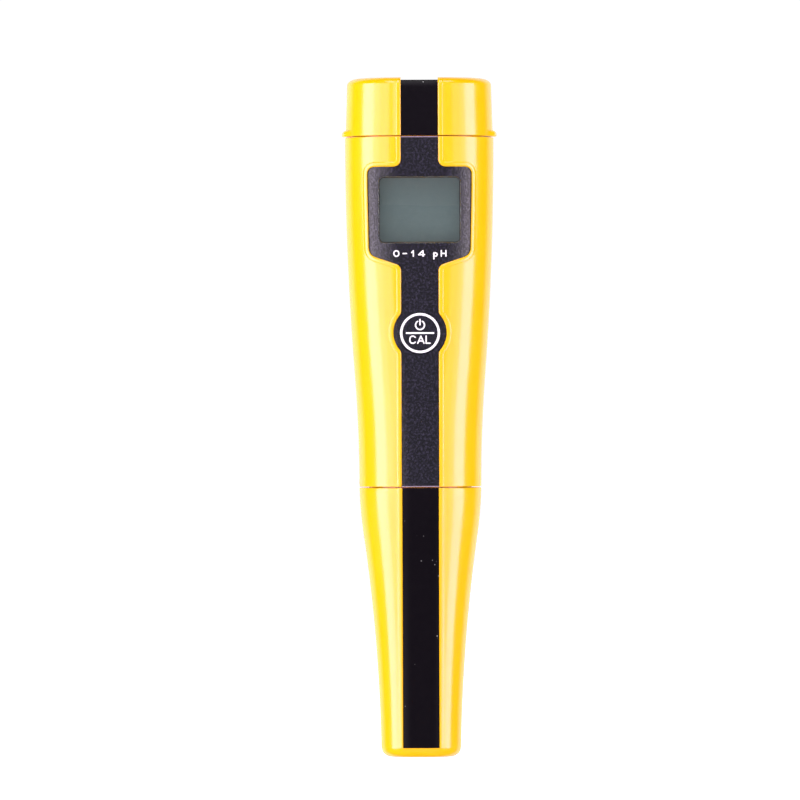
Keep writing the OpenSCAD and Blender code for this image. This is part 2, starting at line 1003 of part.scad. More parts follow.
module electrode_socket() color([0.12, 0.12, 0.13]) {
    socket_low = 78.6;
    difference() {
        translate([-5.6, board_back_y, socket_low])
            cube([11.2, 11.6, 9.4]);
        for (a = [45 : 90 : 315])
            rotate(a)
                translate([3, 0, socket_low - 1])
                    cylinder(r = 0.58, h = 7);
    }
}

module neck_oring() color([0.08, 0.08, 0.08]) {
    translate([0, 0, neck_oring_z])
        rotate_extrude()
            translate([neck_oring_r, 0])
                circle(neck_oring_wire, $fn = 32);
}

module electrode_barrel() color([0.16, 0.17, 0.2]) {
    slot_w = 4.4;
    groove_z = 56;
    difference() {
        union() {
            translate([0, 0, tip_z])
                cylinder(r = barrel_r, h = barrel_high - tip_z);
            translate([0, 0, collar_low])
                cylinder(r = 8.1, h = collar_high - collar_low);
        }
        translate([0, 0, tip_z - 1])
            cylinder(r = barrel_inner_r, h = barrel_high - tip_z + 2);
        for (a = [0, 90])
            rotate(a)
                translate([-10, -slot_w / 2, tip_z - 1])
                    cube([20, slot_w, guard_high - tip_z]);
        ring(5.3, barrel_r + 1, groove_z - 0.45, groove_z + 0.45);
    }
}

module barrel_oring() color([0.08, 0.08, 0.08]) {
    translate([0, 0, 56])
        rotate_extrude()
            translate([5.68, 0])
                circle(0.38, $fn = 32);
}

module glass_bulb() color([0.75, 0.85, 0.85, 0.5]) {
    glass_t = 0.35;
    translate([stem_x, 0, bulb_z])
        difference() {
            sphere(bulb_r);
            sphere(bulb_r - glass_t);
            cylinder(r = stem_r - 0.5, h = 5);
            translate([-5, -5, 1.9])
                cube([10, 10, 5]);
        }
}

module glass_stem() color([0.8, 0.88, 0.88, 0.5]) {
    translate([stem_x, 0, 0])
        ring(stem_r - 0.5, stem_r, bulb_z + 1.9, plug_low);
}

module silver_wire() color("silver") {
    translate([stem_x, 0, bulb_z - 1.2])
        cylinder(r = 0.3, h = plug_low - bulb_z + 1.2);
}

module reference_wire() color("silver") {
    translate([2.2, 3.1, 26])
        cylinder(r = 0.3, h = plug_low - 26);
}

module reference_junction() color("white") {
    junction_low = 20.5;
    difference() {
        translate([0, 0, junction_low])
            cylinder(r = barrel_inner_r, h = 3);
        translate([stem_x, 0, junction_low - 1])
            cylinder(r = stem_r, h = 5);
        translate([probe_x, 0, junction_low - 1])
            cylinder(r = probe_r, h = 5);
    }
}

module temperature_probe() color("silver") {
    translate([probe_x, 0, 15])
        sphere(probe_r);
    translate([probe_x, 0, 15])
        cylinder(r = probe_r, h = plug_low - 15);
}

module electrode_plug() color([0.15, 0.15, 0.16]) {
    translate([0, 0, plug_low])
        cylinder(r = barrel_inner_r, h = barrel_high - plug_low);
    translate([0, 0, barrel_high])
        cylinder(r = barrel_r - 0.1, h = plug_high - barrel_high);
}

module plug_pins() color("goldenrod") {
    for (a = [45 : 90 : 315])
        rotate(a)
            translate([3, 0, plug_high])
                cylinder(r = 0.5, h = 5.5);
}

module retaining_nut() color([0.2, 0.2, 0.22]) {
    difference() {
        translate([0, 0, nut_low])
            cylinder(r = nut_r, h = nut_high - nut_low);
        translate([0, 0, nut_low - 1])
            cylinder(r = barrel_r + 0.2, h = 5);
        translate([0, 0, nut_lip_high])
            cylinder(r = neck_r + 0.1, h = 20);
        for (i = [0 : nut_grooves - 1])
            rotate(i * 360 / nut_grooves)
                translate([nut_r + 0.35, 0, nut_low - 1])
                    cylinder(r = 0.8, h = nut_high - nut_low + 2, $fn = 24);
    }
}

electrode_cap();
electrode_cap_stripe();
soaking_sponge();
housing();
front_overlay();
overlay_print();
display_window();
lcd_front_glass();
lcd_rear_glass();
lcd_reflector();
lcd_frame();
zebra_strips();
main_board();
controller_chip();
amplifier_chip();
clock_crystal();
chip_components();
switch_body();
board_carrier();
board_screws();
battery_tray();
button_cells();
battery_contacts();
electrode_socket();
neck_oring();
key_disc();
key_print();
key_plunger();
switch_stem();
battery_cap_shell();
battery_cap_stripe();
battery_cap_oring();
contact_carrier();
battery_bridge();
bridge_rivets();
electrode_barrel();
glass_bulb();
glass_stem();
silver_wire();
reference_wire();
reference_junction();
temperature_probe();
electrode_plug();
plug_pins();
barrel_oring();
retaining_nut();
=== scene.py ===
import json
import math
from collections import namedtuple

import bmesh
import bpy
import numpy as np
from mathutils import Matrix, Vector, geometry


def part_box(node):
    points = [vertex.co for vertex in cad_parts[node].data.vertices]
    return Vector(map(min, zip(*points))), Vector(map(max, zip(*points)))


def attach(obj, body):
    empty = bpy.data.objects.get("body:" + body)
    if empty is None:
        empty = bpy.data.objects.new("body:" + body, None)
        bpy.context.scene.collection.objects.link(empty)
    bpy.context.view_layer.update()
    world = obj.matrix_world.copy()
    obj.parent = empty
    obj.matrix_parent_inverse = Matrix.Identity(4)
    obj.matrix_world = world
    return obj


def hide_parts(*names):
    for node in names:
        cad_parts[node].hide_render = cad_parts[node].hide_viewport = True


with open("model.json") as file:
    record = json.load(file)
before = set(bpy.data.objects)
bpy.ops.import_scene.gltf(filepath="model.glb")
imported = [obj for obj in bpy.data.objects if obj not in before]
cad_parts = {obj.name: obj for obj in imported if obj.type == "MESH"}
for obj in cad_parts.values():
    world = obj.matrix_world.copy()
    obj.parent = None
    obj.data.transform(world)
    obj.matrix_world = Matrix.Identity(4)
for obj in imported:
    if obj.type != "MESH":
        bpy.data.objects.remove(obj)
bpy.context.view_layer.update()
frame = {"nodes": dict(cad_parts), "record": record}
nodes = frame["nodes"]

MM = 0.001

# ---- sizes, in millimetres in the frame of the CAD model ----

HOUSE_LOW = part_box("front_overlay")[0].z / MM
HOUSE_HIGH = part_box("front_overlay")[1].z / MM
BCAP_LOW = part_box("battery_cap_stripe")[0].z / MM
TOTAL_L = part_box("battery_cap_shell")[1].z / MM
ECAP_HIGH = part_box("electrode_cap")[1].z / MM
NECK_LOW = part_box("housing")[0].z / MM

SIDE_R = 16.65
FLAT_Y = 16.1
WALL = 2.0
RIM_R = 0.15
SEAM_LOW = 73.6
BORE_TOP = 76.0

BEND_Z = 104.0
BEND_X = 1.2
BEND_COS = 0.99712
BEND_SIN = 0.07584
UPPER_PATH_R = 850.0
LOWER_PATH_R = 400.0

FILM_SINK = 0.3
FILM_T = 0.3
FLOOR_SINK = FILM_SINK + FILM_T
STRIPE_HALF_W = 5.05
BULGE_R = 7.2
BULGE_Z = 115.6
WINDOW_W = 22.4
WINDOW_H = 18.2
WINDOW_Z = 148.95
WINDOW_R = 1.6
KEY_R = 5.8
KEY_Z = 115.45
PLAY = 0.1

# Raised bead round the film: (distance outside the film's edge, depth below the yellow surface)
BEAD = (
    (1.34, 0.0), (1.27, -0.03), (1.20, -0.10), (1.08, -0.135), (0.85, -0.15),
    (0.60, -0.145), (0.38, -0.11), (0.20, -0.03), (0.09, 0.10), (0.05, 0.24), (0.05, FLOOR_SINK),
)

Ring = namedtuple("Ring", "side turn share sink")


# ---- forms ----

def housing_offset(z):
    """Distance of the housing's two side circles from the middle, along two tangent arcs."""
    z = np.asarray(z, float)
    upper_x = BEND_X - UPPER_PATH_R * BEND_COS
    upper_z = BEND_Z + UPPER_PATH_R * BEND_SIN
    lower_x = BEND_X + LOWER_PATH_R * BEND_COS
    lower_z = BEND_Z - LOWER_PATH_R * BEND_SIN
    upper = upper_x + np.sqrt(UPPER_PATH_R ** 2 - (np.maximum(z, BEND_Z) - upper_z) ** 2)
    lower = lower_x - np.sqrt(LOWER_PATH_R ** 2 - (np.minimum(z, BEND_Z) - lower_z) ** 2)
    return np.where(z >= BEND_Z, upper, lower)


CAP_BEND_Z = 61.0
CAP_SLOPES = (0.02, 0.145, 0.02)
CAP_CORNER_R = 2.7
SEAM_HALF_W = float(housing_offset(SEAM_LOW)) + SIDE_R
CAP_CHORD = math.sqrt(SEAM_HALF_W ** 2 - FLAT_Y ** 2)


def lean(u, s0, s1, length):
    """How far a line has moved over after a run u, while its slope goes evenly from s0 to s1."""
    return s0 * u + (s1 - s0) * u * u / (2 * length)


def cap_side(z):
    """Half width of the electrode cap's side, without its bottom corner."""
    z = np.asarray(z, float)
    seam, bend, base = CAP_SLOPES
    upper = SEAM_HALF_W - lean(SEAM_LOW - np.maximum(z, CAP_BEND_Z), seam, bend, SEAM_LOW - CAP_BEND_Z)
    return upper - lean(np.maximum(CAP_BEND_Z - z, 0), bend, base, CAP_BEND_Z - 4)


def cap_half(z):
    """Half width of the electrode cap, bottom corner included."""
    z = np.asarray(z, float)
    fall = np.clip((CAP_CORNER_R - z) / CAP_CORNER_R, 0, 1)
    corner = CAP_CORNER_R * (1 - np.sqrt(1 - fall ** 2))
    return cap_side(np.maximum(z, CAP_CORNER_R)) - corner


def cap_flat(z):
    """Distance of the electrode cap's flats from the middle."""
    z = np.asarray(z, float)
    side = cap_side(np.maximum(z, CAP_CORNER_R))
    return np.sqrt(side ** 2 - CAP_CHORD ** 2) - (side - cap_half(z))


def between(z, z0, z1, v0, v1):
    """A value that goes evenly from v0 at z0 to v1 at z1."""
    return v0 + (v1 - v0) * (np.asarray(z, float) - z0) / (z1 - z0)


class Form:
    """A tube with round sides and flats front and back, blended smoothly into each other.

    Each of its four measures is a function of the height. A place on it is given by the way its
    normal points, from 0 at the front to pi at the back, and by its share of the flat's width.
    """

    def __init__(self, radius, offset, flat, blend):
        self.radius, self.offset = radius, offset
        self.flat, self.blend = flat, blend

    def support(self, turn, z, sink):
        """Distance of the tangent line with that normal from the middle, and how it changes."""
        radius, offset, blend = self.radius(z), self.offset(z), self.blend(z)
        drop = radius - self.flat(z)
        near = np.clip(1 - turn / blend, 0, 1)
        reach = radius + offset * np.sin(turn) - drop * near ** 3 - sink
        change = offset * np.cos(turn) + 3 * drop * near ** 2 / blend
        return reach, change

    def flat_half(self, z):
        drop = self.radius(z) - self.flat(z)
        return self.offset(z) + 3 * drop / self.blend(z)

    def place(self, ring, z, more=0.0):
        """The ring's points at height z, sunk by more than the ring says."""
        turn = np.minimum(ring.turn, math.pi - ring.turn)
        reach, change = self.support(turn, z, ring.sink + more)
        x = (reach * np.sin(turn) + change * np.cos(turn)) * ring.share * ring.side
        y = -(reach * np.cos(turn) - change * np.sin(turn))
        y = np.where(ring.turn > math.pi / 2, -y, y)
        return np.stack([x, y, np.broadcast_to(z, x.shape)], 1)

    def normals(self, ring, z):
        turn = np.minimum(ring.turn, math.pi - ring.turn)
        step = 0.05
        rise = (self.support(turn, z + step, 0)[0] - self.support(turn, z - step, 0)[0]) / (2 * step)
        ny = np.where(ring.turn > math.pi / 2, np.cos(turn), -np.cos(turn))
        n = np.stack([ring.side * np.sin(turn), ny, -rise + 0 * ny], 1)
        return n / np.linalg.norm(n, axis=1)[:, None]

    def across(self, x, z, sink=0.0):
        """The ring of places on the front that lie at x and z."""
        x, z, sink = np.broadcast_arrays(*(np.asarray(v, float) for v in (x, z, sink)))
        half = self.flat_half(z)
        size = np.abs(x)
        low, high = np.zeros_like(size), np.full_like(size, math.pi / 2)
        for _ in range(40):
            middle = (low + high) / 2
            reach, change = self.support(middle, z, sink)
            beyond = reach * np.sin(middle) + change * np.cos(middle) > size
            high = np.where(beyond, middle, high)
            low = np.where(beyond, low, middle)
        on_flat = size <= half
        turn = np.where(on_flat, 0.0, (low + high) / 2)
        share = np.where(on_flat, size / half, 1.0)
        return Ring(np.where(x < 0, -1.0, 1.0), turn, share, sink.copy())

    def on_front(self, x, z, sink=0.0):
        """Points and normals of the front surface over x and z."""
        ring = self.across(x, z, sink)
        return self.place(ring, np.asarray(z, float)), self.normals(ring, np.asarray(z, float))


def steady(value):
    """A measure that is the same at every height."""
    return lambda z: value + 0.0 * np.asarray(z, float)


HOUSING = Form(steady(SIDE_R), housing_offset, steady(FLAT_Y), steady(0.8))
ECAP = Form(cap_half, steady(0.0), cap_flat, lambda z: between(z, SEAM_LOW, 0, 0.8, 1.1))
LOBE_X = 3.65
BCAP = Form(
    lambda z: between(z, BCAP_LOW, TOTAL_L, 16.47, 15.99), steady(LOBE_X),
    lambda z: between(z, BCAP_LOW, TOTAL_L, 16.0, 15.5), steady(0.8),
)
SKIRT = Form(steady(14.35), steady(LOBE_X), steady(13.8), steady(0.8))
SKIRT_INSIDE = Form(steady(12.9), steady(LOBE_X), steady(12.3), steady(0.8))


# ---- mesh building ----

class Build:
    """Gathers points in millimetres and faces, and turns them into one closed mesh."""

    def __init__(self):
        self.points, self.faces, self.fine = [], [], []
        self.index, self.normal = {}, {}

    def add(self, points, normals=None):
        found = []
        for k, p in enumerate(np.asarray(points, float)):
            key = tuple(np.round(p, 4) + 0.0)
            i = self.index.setdefault(key, len(self.points))
            if i == len(self.points):
                self.points.append(p)
            if normals is not None:
                self.normal[i] = normals[k]
            found.append(i)
        return found

    def face(self, corners, fine=False):
        kept = list(dict.fromkeys(corners))
        if len(kept) > 2:
            self.faces.append(kept)
            self.fine.append(fine)

    def strip(self, a, b, fine=False, closed=True):
        count = len(a)
        for k in range(count if closed else count - 1):
            n = (k + 1) % count
            self.face([a[k], a[n], b[n], b[k]], fine)

    def fan(self, loop, centre):
        middle = self.add([centre])[0]
        for k, i in enumerate(loop):
            self.face([i, loop[(k + 1) % len(loop)], middle])

    def loft(self, loops, fine=False, closed=True):
        for a, b in zip(loops, loops[1:]):
            self.strip(a, b, fine, closed)

    def finish(self, name, body, stands_for, crease=32.0):
        mesh = bpy.data.meshes.new(name)
        mesh.from_pydata([tuple(p * MM) for p in self.points], [], self.faces)
        mesh.update()
        bm = bmesh.new()
        bm.from_mesh(mesh)
        bmesh.ops.recalc_face_normals(bm, faces=bm.faces)
        bm.to_mesh(mesh)
        bm.free()
        mesh.polygons.foreach_set("use_smooth", [True] * len(mesh.polygons))
        mesh.set_sharp_from_angle(angle=math.radians(crease))
        corners = [tuple(n.vector) for n in mesh.corner_normals]
        for polygon, fine in zip(mesh.polygons, self.fine):
            if not fine:
                continue
            for loop in polygon.loop_indices:
                known = self.normal.get(mesh.loops[loop].vertex_index)
                if known is not None:
                    corners[loop] = tuple(known)
        mesh.normals_split_custom_set(corners)
        made = bpy.data.objects.new(name, mesh)
        bpy.context.scene.collection.objects.link(made)
        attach(made, body)
        if stands_for:
            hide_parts(*stands_for)
        return made


def inside(points, loop):
    """Which of the points lie inside the closed loop."""
    x, z = points[:, 0][:, None], points[:, 1][:, None]
    x0, z0 = loop[:, 0][None], loop[:, 1][None]
    x1, z1 = np.roll(loop[:, 0], -1)[None], np.roll(loop[:, 1], -1)[None]
    rise = np.where(z1 == z0, 1e-12, z1 - z0)
    crossing = (z0 > z) != (z1 > z)
    left = x < (x1 - x0) * (z - z0) / rise + x0
    return (np.sum(crossing & left, 1) % 2) == 1


def enclosed(triangles, edges):
    """The triangles between the outer loop and the holes, found by walking in over the edges."""
    walls = {frozenset(e) for e in edges}
    sides = [[frozenset((t[k], t[k - 1])) for k in range(3)] for t in triangles]
    by_side = {}
    for k, three in enumerate(sides):
        for side in three:
            by_side.setdefault(side, []).append(k)
    state = {}
    waiting = [(found[0], side in walls) for side, found in by_side.items() if len(found) == 1]
    while waiting:
        k, within = waiting.pop()
        if k in state:
            continue
        state[k] = within
        for side in sides[k]:
            waiting += [(n, within != (side in walls)) for n in by_side[side] if n not in state]
    return [t for k, t in enumerate(triangles) if state[k]]


def triangulate(outer, holes=(), spacing=1.1):
    """Triangles that fill the outer loop and leave the holes open: all points, and triples of them."""
    loops = [np.asarray(outer, float)] + [np.asarray(h, float) for h in holes]
    edge_points = np.concatenate(loops)
    low, high = loops[0].min(0), loops[0].max(0)
    rows = np.arange(low[1] + spacing / 2, high[1], spacing * 0.87)
    grid = [
        (x + (spacing / 2 if k % 2 else 0), z)
        for k, z in enumerate(rows) for x in np.arange(low[0] + 0.3 * spacing, high[0], spacing)
    ]
    grid = np.array(grid)
    keep = inside(grid, loops[0])
    for hole in loops[1:]:
        keep &= ~inside(grid, hole)
    grid = grid[keep]
    gap = np.array([np.min(np.hypot(*(edge_points - g).T)) for g in grid])
    grid = grid[gap > 0.55 * spacing]
    points = np.concatenate([edge_points, grid])
    edges, start = [], 0
    for loop in loops:
        count = len(loop)
        edges += [(start + k, start + (k + 1) % count) for k in range(count)]
        start += count
    made = geometry.delaunay_2d_cdt([Vector(p) for p in points], edges, [], 0, 1e-6, True)
    source = [ids[0] for ids in made[3]]
    return points, enclosed([[source[i] for i in f] for f in made[2]], edges)


def front_sheet(build, form, outer, holes, sink, spacing=1.1, fine=True):
    """A triangulated stretch of the form's front surface. Returns the ids of all its points."""
    points, triangles = triangulate(outer, holes, spacing)
    places, normals = form.on_front(points[:, 0], points[:, 1], sink)
    ids = build.add(places, normals)
    for t in triangles:
        build.face([ids[i] for i in t], fine)
    return ids


# ---- outlines, in x and z ----

def arc(cx, cz, r, a0, a1, step=8.0):
    count = max(2, int(abs(a1 - a0) / step) + 1)
    angles = np.radians(np.linspace(a0, a1, count))
    return [(cx + r * math.cos(a), cz + r * math.sin(a)) for a in angles]


def rounded(corners):
    """An open line through the corners, each (x, z, radius)."""
    line = [corners[0][:2]]
    for before, here, after in zip(corners, corners[1:], corners[2:]):
        p, a, b = np.array(here[:2]), np.array(before[:2]), np.array(after[:2])
        u, v = (a - p) / np.linalg.norm(a - p), (b - p) / np.linalg.norm(b - p)
        half = math.acos(np.clip(u @ v, -1, 1)) / 2
        reach = here[2] / math.tan(half)
        centre = p + (u + v) / np.linalg.norm(u + v) * here[2] / math.sin(half)
        start, end = p + u * reach - centre, p + v * reach - centre
        a0 = math.degrees(math.atan2(start[1], start[0]))
        a1 = math.degrees(math.atan2(end[1], end[0]))
        a1 += 360 * round((a0 - a1) / 360)
        line += arc(centre[0], centre[1], here[2], a0, a1)
    line.append(corners[-1][:2])
    return line


def resample(line, step):
    line = np.array(line, float)
    run = np.concatenate([[0], np.cumsum(np.hypot(*np.diff(line, axis=0).T))])
    at = np.linspace(0, run[-1], int(run[-1] / step) + 1)
    return np.stack([np.interp(at, run, line[:, 0]), np.interp(at, run, line[:, 1])], 1)


def outward(line):
    """Unit normals on the right-hand side of a line."""
    d = np.gradient(line, axis=0)
    d[0], d[-1] = (0, 1), (0, 1)
    return np.stack([d[:, 1], -d[:, 0]], 1) / np.hypot(*d.T)[:, None]


def film_edge(low, high):
    """Right-hand edge of the film, from its low end up to its high end."""
    fillet = 2.0
    cx = STRIPE_HALF_W + fillet
    rise = math.sqrt((BULGE_R + fillet) ** 2 - cx ** 2)
    swing = math.degrees(math.asin(rise / (BULGE_R + fillet)))
    bulge = (
        arc(cx, BULGE_Z - rise, fillet, 180, 180 - swing)
        + arc(0, BULGE_Z, BULGE_R, -swing, swing, 4)
        + arc(cx, BULGE_Z + rise, fillet, 180 + swing, 180)
    )
    bezel = rounded([
        (STRIPE_HALF_W, BULGE_Z + rise + 1, 0), (STRIPE_HALF_W, 133.77, 2.0), (13.75, 136.75, 2.6),
        (14.1, 155.0, 20.0), (14.1, 160.6, 1.8), (STRIPE_HALF_W, 160.6, 2.0), (STRIPE_HALF_W, high, 0),
    ])
    return resample([(STRIPE_HALF_W, low)] + bulge + bezel, 0.42)


def rounded_rect(w, h, r, cz):
    """A closed loop, with points no more than about 0.9 mm apart."""
    loop = []
    for sx, sz, a in ((1, -1, -90), (1, 1, 0), (-1, 1, 90), (-1, -1, 180)):
        loop += arc(sx * (w / 2 - r), cz + sz * (h / 2 - r), r, a, a + 90, 15)
    loop.append(loop[0])
    filled = []
    for p, q in zip(loop, loop[1:]):
        dx, dz = q[0] - p[0], q[1] - p[1]
        steps = max(1, round(math.hypot(dx, dz) / 0.9))
        filled += [(p[0] + dx * k / steps, p[1] + dz * k / steps) for k in range(steps)]
    return np.array(filled)


def circle(r, cz):
    a = np.linspace(0, 2 * math.pi, 96, endpoint=False)
    return np.stack([r * np.cos(a), cz + r * np.sin(a)], 1)


# ---- housing ----

PATCH_TURN = math.radians(60)


def mirrored(ring):
    """The ring of the right half, from the middle of the front to the middle of the back, made whole."""
    left = Ring(*(np.array(v)[::-1][1:-1] for v in ring))
    return Ring(
        np.concatenate([ring.side, -left.side]), np.concatenate([ring.turn, left.turn]),
        np.concatenate([ring.share, left.share]), np.concatenate([ring.sink, left.sink]),
    )


def joined(*rings):
    return Ring(*(np.concatenate(v) for v in zip(*rings)))


def flank(start, sink=0.0):
    """The right side and the right half of the back, from the turn start onwards."""
    turns = np.arange(start, math.pi - 0.01, math.radians(4))
    turns = np.concatenate([turns, [math.pi] * 3])
    share = np.concatenate([np.ones(len(turns) - 3), [1.0, 0.5, 0.0]])
    return Ring(np.ones(len(turns)), turns, share, np.full(len(turns), sink))


def round_points(ring_points, radius, z):
    """The points moved in or out to a circle at height z."""
    reach = np.hypot(ring_points[:, 0], ring_points[:, 1])
    return np.stack([
        ring_points[:, 0] * radius / reach, ring_points[:, 1] * radius / reach, np.full(len(reach), z)
    ], 1)


def neck_profile():
    """(radius, height) from the bore's upper edge, down the neck, and out over the spigot."""
    bore, root, crest, pitch, first = 6.1, 7.75, 8.3, 1.5, NECK_LOW + 0.6
    down = [(bore, BORE_TOP), (bore, NECK_LOW + 0.2), (bore + 0.2, NECK_LOW), (root - 0.2, NECK_LOW)]
    tooth = (
        (root, 0), (crest - 0.1, 0.26), (crest, 0.32), (crest, 0.42), (crest - 0.1, 0.48), (root, 0.75),
    )
    teeth = [(r, first + pitch * (i + part)) for i in range(5) for r, part in tooth]
    spigot_in, spigot, low, groove, groove_z = 11.0, 14.0, 65.6, 12.83, 69.8
    up = [
        (root, SEAM_LOW), (spigot_in, SEAM_LOW + 0.1), (spigot_in, low + 0.3), (spigot_in + 0.3, low),
        (spigot - 0.5, low), (spigot, low + 0.5), (spigot, groove_z - 0.8), (groove, groove_z - 0.8),
        (groove, groove_z + 0.8), (spigot, groove_z + 0.8), (spigot, HOUSE_LOW),
    ]
    return down + teeth + up


def patch_column(levels, sink):
    """The line, in x and z, along which the right side meets the front."""
    spot = Ring(*(np.array([v]) for v in (1.0, PATCH_TURN, 1.0, sink)))
    return np.array([(HOUSING.place(spot, z)[0, 0], z) for z in levels])


def housing_front(build, levels):
    """The yellow front with its bead and the floor under the film. Returns the halves of the end rings."""
    low, high = levels[0], levels[-1]
    line = film_edge(low, high)
    out = outward(line)
    border = line + out * BEAD[0][0]
    column = patch_column(levels, 0.0)
    top_x = np.linspace(border[-1, 0], column[-1, 0], 14)[1:-1]
    bottom_x = np.linspace(border[0, 0], column[0, 0], 12)[1:-1]
    top = np.array([(x, high) for x in top_x])
    bottom = np.array([(x, low) for x in bottom_x])
    outer = np.concatenate([border, top, column[::-1], bottom[::-1]])
    window = rounded_rect(WINDOW_W + PLAY, WINDOW_H + PLAY, WINDOW_R + PLAY / 2, WINDOW_Z)
    key = circle(KEY_R + 2 * PLAY, KEY_Z)
    for side in (1, -1):
        flip = np.array([side, 1])
        front_sheet(build, HOUSING, outer * flip, [], 0.0)
        rows = []
        for reach, sink in BEAD:
            at = (line + out * reach) * flip
            rows.append(build.add(HOUSING.on_front(at[:, 0], at[:, 1], sink)[0]))
        build.loft(rows, closed=False)
    inner = line + out * BEAD[-1][0]
    floor_top = np.linspace(inner[-1, 0], -inner[-1, 0], 11)[1:-1]
    floor_low = np.linspace(-inner[0, 0], inner[0, 0], 11)[1:-1]
    floor = np.concatenate([
        inner, [(x, high) for x in floor_top], (inner * [-1, 1])[::-1], [(x, low) for x in floor_low]
    ])
    front_sheet(build, HOUSING, floor, [window, key], FLOOR_SINK, 2.2)
    top_half = end_ring(line[-1], out[-1], top_x, floor_top, high)
    low_half = end_ring(line[0], out[0], bottom_x, floor_low, low)
    return window, key, top_half, low_half


def end_ring(edge, out, face_x, floor_x, z):
    """Right half of the section at one end of the housing, from the middle of the front to the back."""
    floor = [(x, FLOOR_SINK) for x in sorted(x for x in floor_x if x > 1e-6)]
    bead = [(edge[0] + out[0] * reach, sink) for reach, sink in BEAD[::-1]]
    face = [(x, 0.0) for x in face_x]
    path = np.array([(0.0, FLOOR_SINK)] + floor + bead + face)
    return joined(HOUSING.across(path[:, 0], z, path[:, 1]), flank(PATCH_TURN))


def housing_sides(build, levels):
    ring = flank(PATCH_TURN)
    for side in (1.0, -1.0):
        turned = ring._replace(side=ring.side * side)
        loops = [build.add(HOUSING.place(turned, z), HOUSING.normals(turned, z)) for z in levels]
        build.loft(loops, fine=True, closed=False)


def evened(ring, sink):
    """The right half of a ring at one depth, with no place that doubles back."""
    on_flat = ring.turn == 0
    share = np.where(on_flat, np.maximum.accumulate(np.where(on_flat, ring.share, 0)), ring.share)
    return ring._replace(turn=np.maximum.accumulate(ring.turn), share=share, sink=np.full(len(share), sink))


def housing_inside(build, window, key, top_ring, low_ring):
    """Inner wall with its two openings, and the walls of the openings."""
    collar_y, collar_t = -13.15, 0.5
    levels = np.linspace(BORE_TOP, HOUSE_HIGH, 40)
    inner_column = patch_column(levels, WALL)

    def edge_x(ring, z):
        front = ring.turn < PATCH_TURN - 1e-6
        x = HOUSING.place(Ring(*(v[front] for v in evened(ring, WALL))), z)[:, 0]
        return x[np.concatenate([[True], np.diff(x) > 2e-4])]

    top = edge_x(top_ring, HOUSE_HIGH)
    low = edge_x(low_ring, BORE_TOP)
    outer = np.concatenate([
        inner_column, [(x, HOUSE_HIGH) for x in np.concatenate([top[::-1], -top[1:]])],
        (inner_column * [-1, 1])[::-1], [(x, BORE_TOP) for x in np.concatenate([-low[::-1][:-1], low])],
    ])
    reach = PLAY + 2 * collar_t
    wide = rounded_rect(WINDOW_W + reach, WINDOW_H + reach, WINDOW_R + collar_t, WINDOW_Z)
    front_sheet(build, HOUSING, outer, [wide, key], WALL, 2.6, fine=False)
    for side in (1.0, -1.0):
        ring = flank(PATCH_TURN, sink=WALL)
        ring = ring._replace(side=ring.side * side)
        build.loft([build.add(HOUSING.place(ring, z)) for z in levels], closed=False)
    outer_edge = build.add(HOUSING.on_front(window[:, 0], window[:, 1], FLOOR_SINK)[0])
    collar_in = build.add([(x, collar_y, z) for x, z in window])
    collar_out = build.add([(x, collar_y, z) for x, z in wide])
    inner_edge = build.add(HOUSING.on_front(wide[:, 0], wide[:, 1], WALL)[0])
    build.strip(outer_edge, collar_in)
    build.strip(collar_out, inner_edge)
    bridge_loops(build, collar_in, collar_out)
    key_out = build.add(HOUSING.on_front(key[:, 0], key[:, 1], FLOOR_SINK)[0])
    key_in = build.add(HOUSING.on_front(key[:, 0], key[:, 1], WALL)[0])
    build.strip(key_out, key_in)


def bridge_loops(build, a, b):
    """Joins two closed loops of different counts, starting both at the same corner."""
    pa = np.array([build.points[i] for i in a])
    pb = np.array([build.points[i] for i in b])
    start = int(np.argmin(np.linalg.norm(pb - pa[0], axis=1)))
    b, pb = b[start:] + b[:start], np.roll(pb, -start, 0)
    i = j = 0
    while i < len(a) or j < len(b):
        na, nb = (i + 1) % len(a), (j + 1) % len(b)
        at_a, at_b = i % len(a), j % len(b)
        nearer = np.linalg.norm(pa[na] - pb[at_b]) <= np.linalg.norm(pa[at_a] - pb[nb])
        if i < len(a) and (j >= len(b) or nearer):
            build.face([a[at_a], a[na], b[at_b]])
            i += 1
        else:
            build.face([a[at_a], b[nb], b[at_b]])
            j += 1


def make_housing():
    build = Build()
    levels = np.linspace(HOUSE_LOW + RIM_R, HOUSE_HIGH - RIM_R, 64)
    window, key, top_half, low_half = housing_front(build, levels)
    housing_sides(build, levels)
    housing_inside(build, window, key, top_half, low_half)
    top_ring, low_ring = mirrored(top_half), mirrored(low_half)
    rounds = ((0.0, 0.0), (0.45 * RIM_R, 0.12 * RIM_R), (0.8 * RIM_R, 0.45 * RIM_R), (RIM_R, RIM_R))
    upper = [build.add(HOUSING.place(top_ring, HOUSE_HIGH - RIM_R + rise, sink)) for rise, sink in rounds]
    upper.append(build.add(HOUSING.place(mirrored(evened(top_half, WALL)), HOUSE_HIGH)))
    build.loft(upper)
    lower = [build.add(HOUSING.place(low_ring, HOUSE_LOW + RIM_R - rise, sink)) for rise, sink in rounds]
    around = HOUSING.place(low_ring._replace(sink=np.zeros(len(low_ring.turn))), HOUSE_LOW)
    neck = [build.add(round_points(around, r, z)) for r, z in neck_profile()[::-1]]
    build.loft(lower + neck + [build.add(HOUSING.place(mirrored(evened(low_half, WALL)), BORE_TOP))])
    return build.finish("housing_shell", "meter_body", ["housing"])


# ---- film, window, key ----

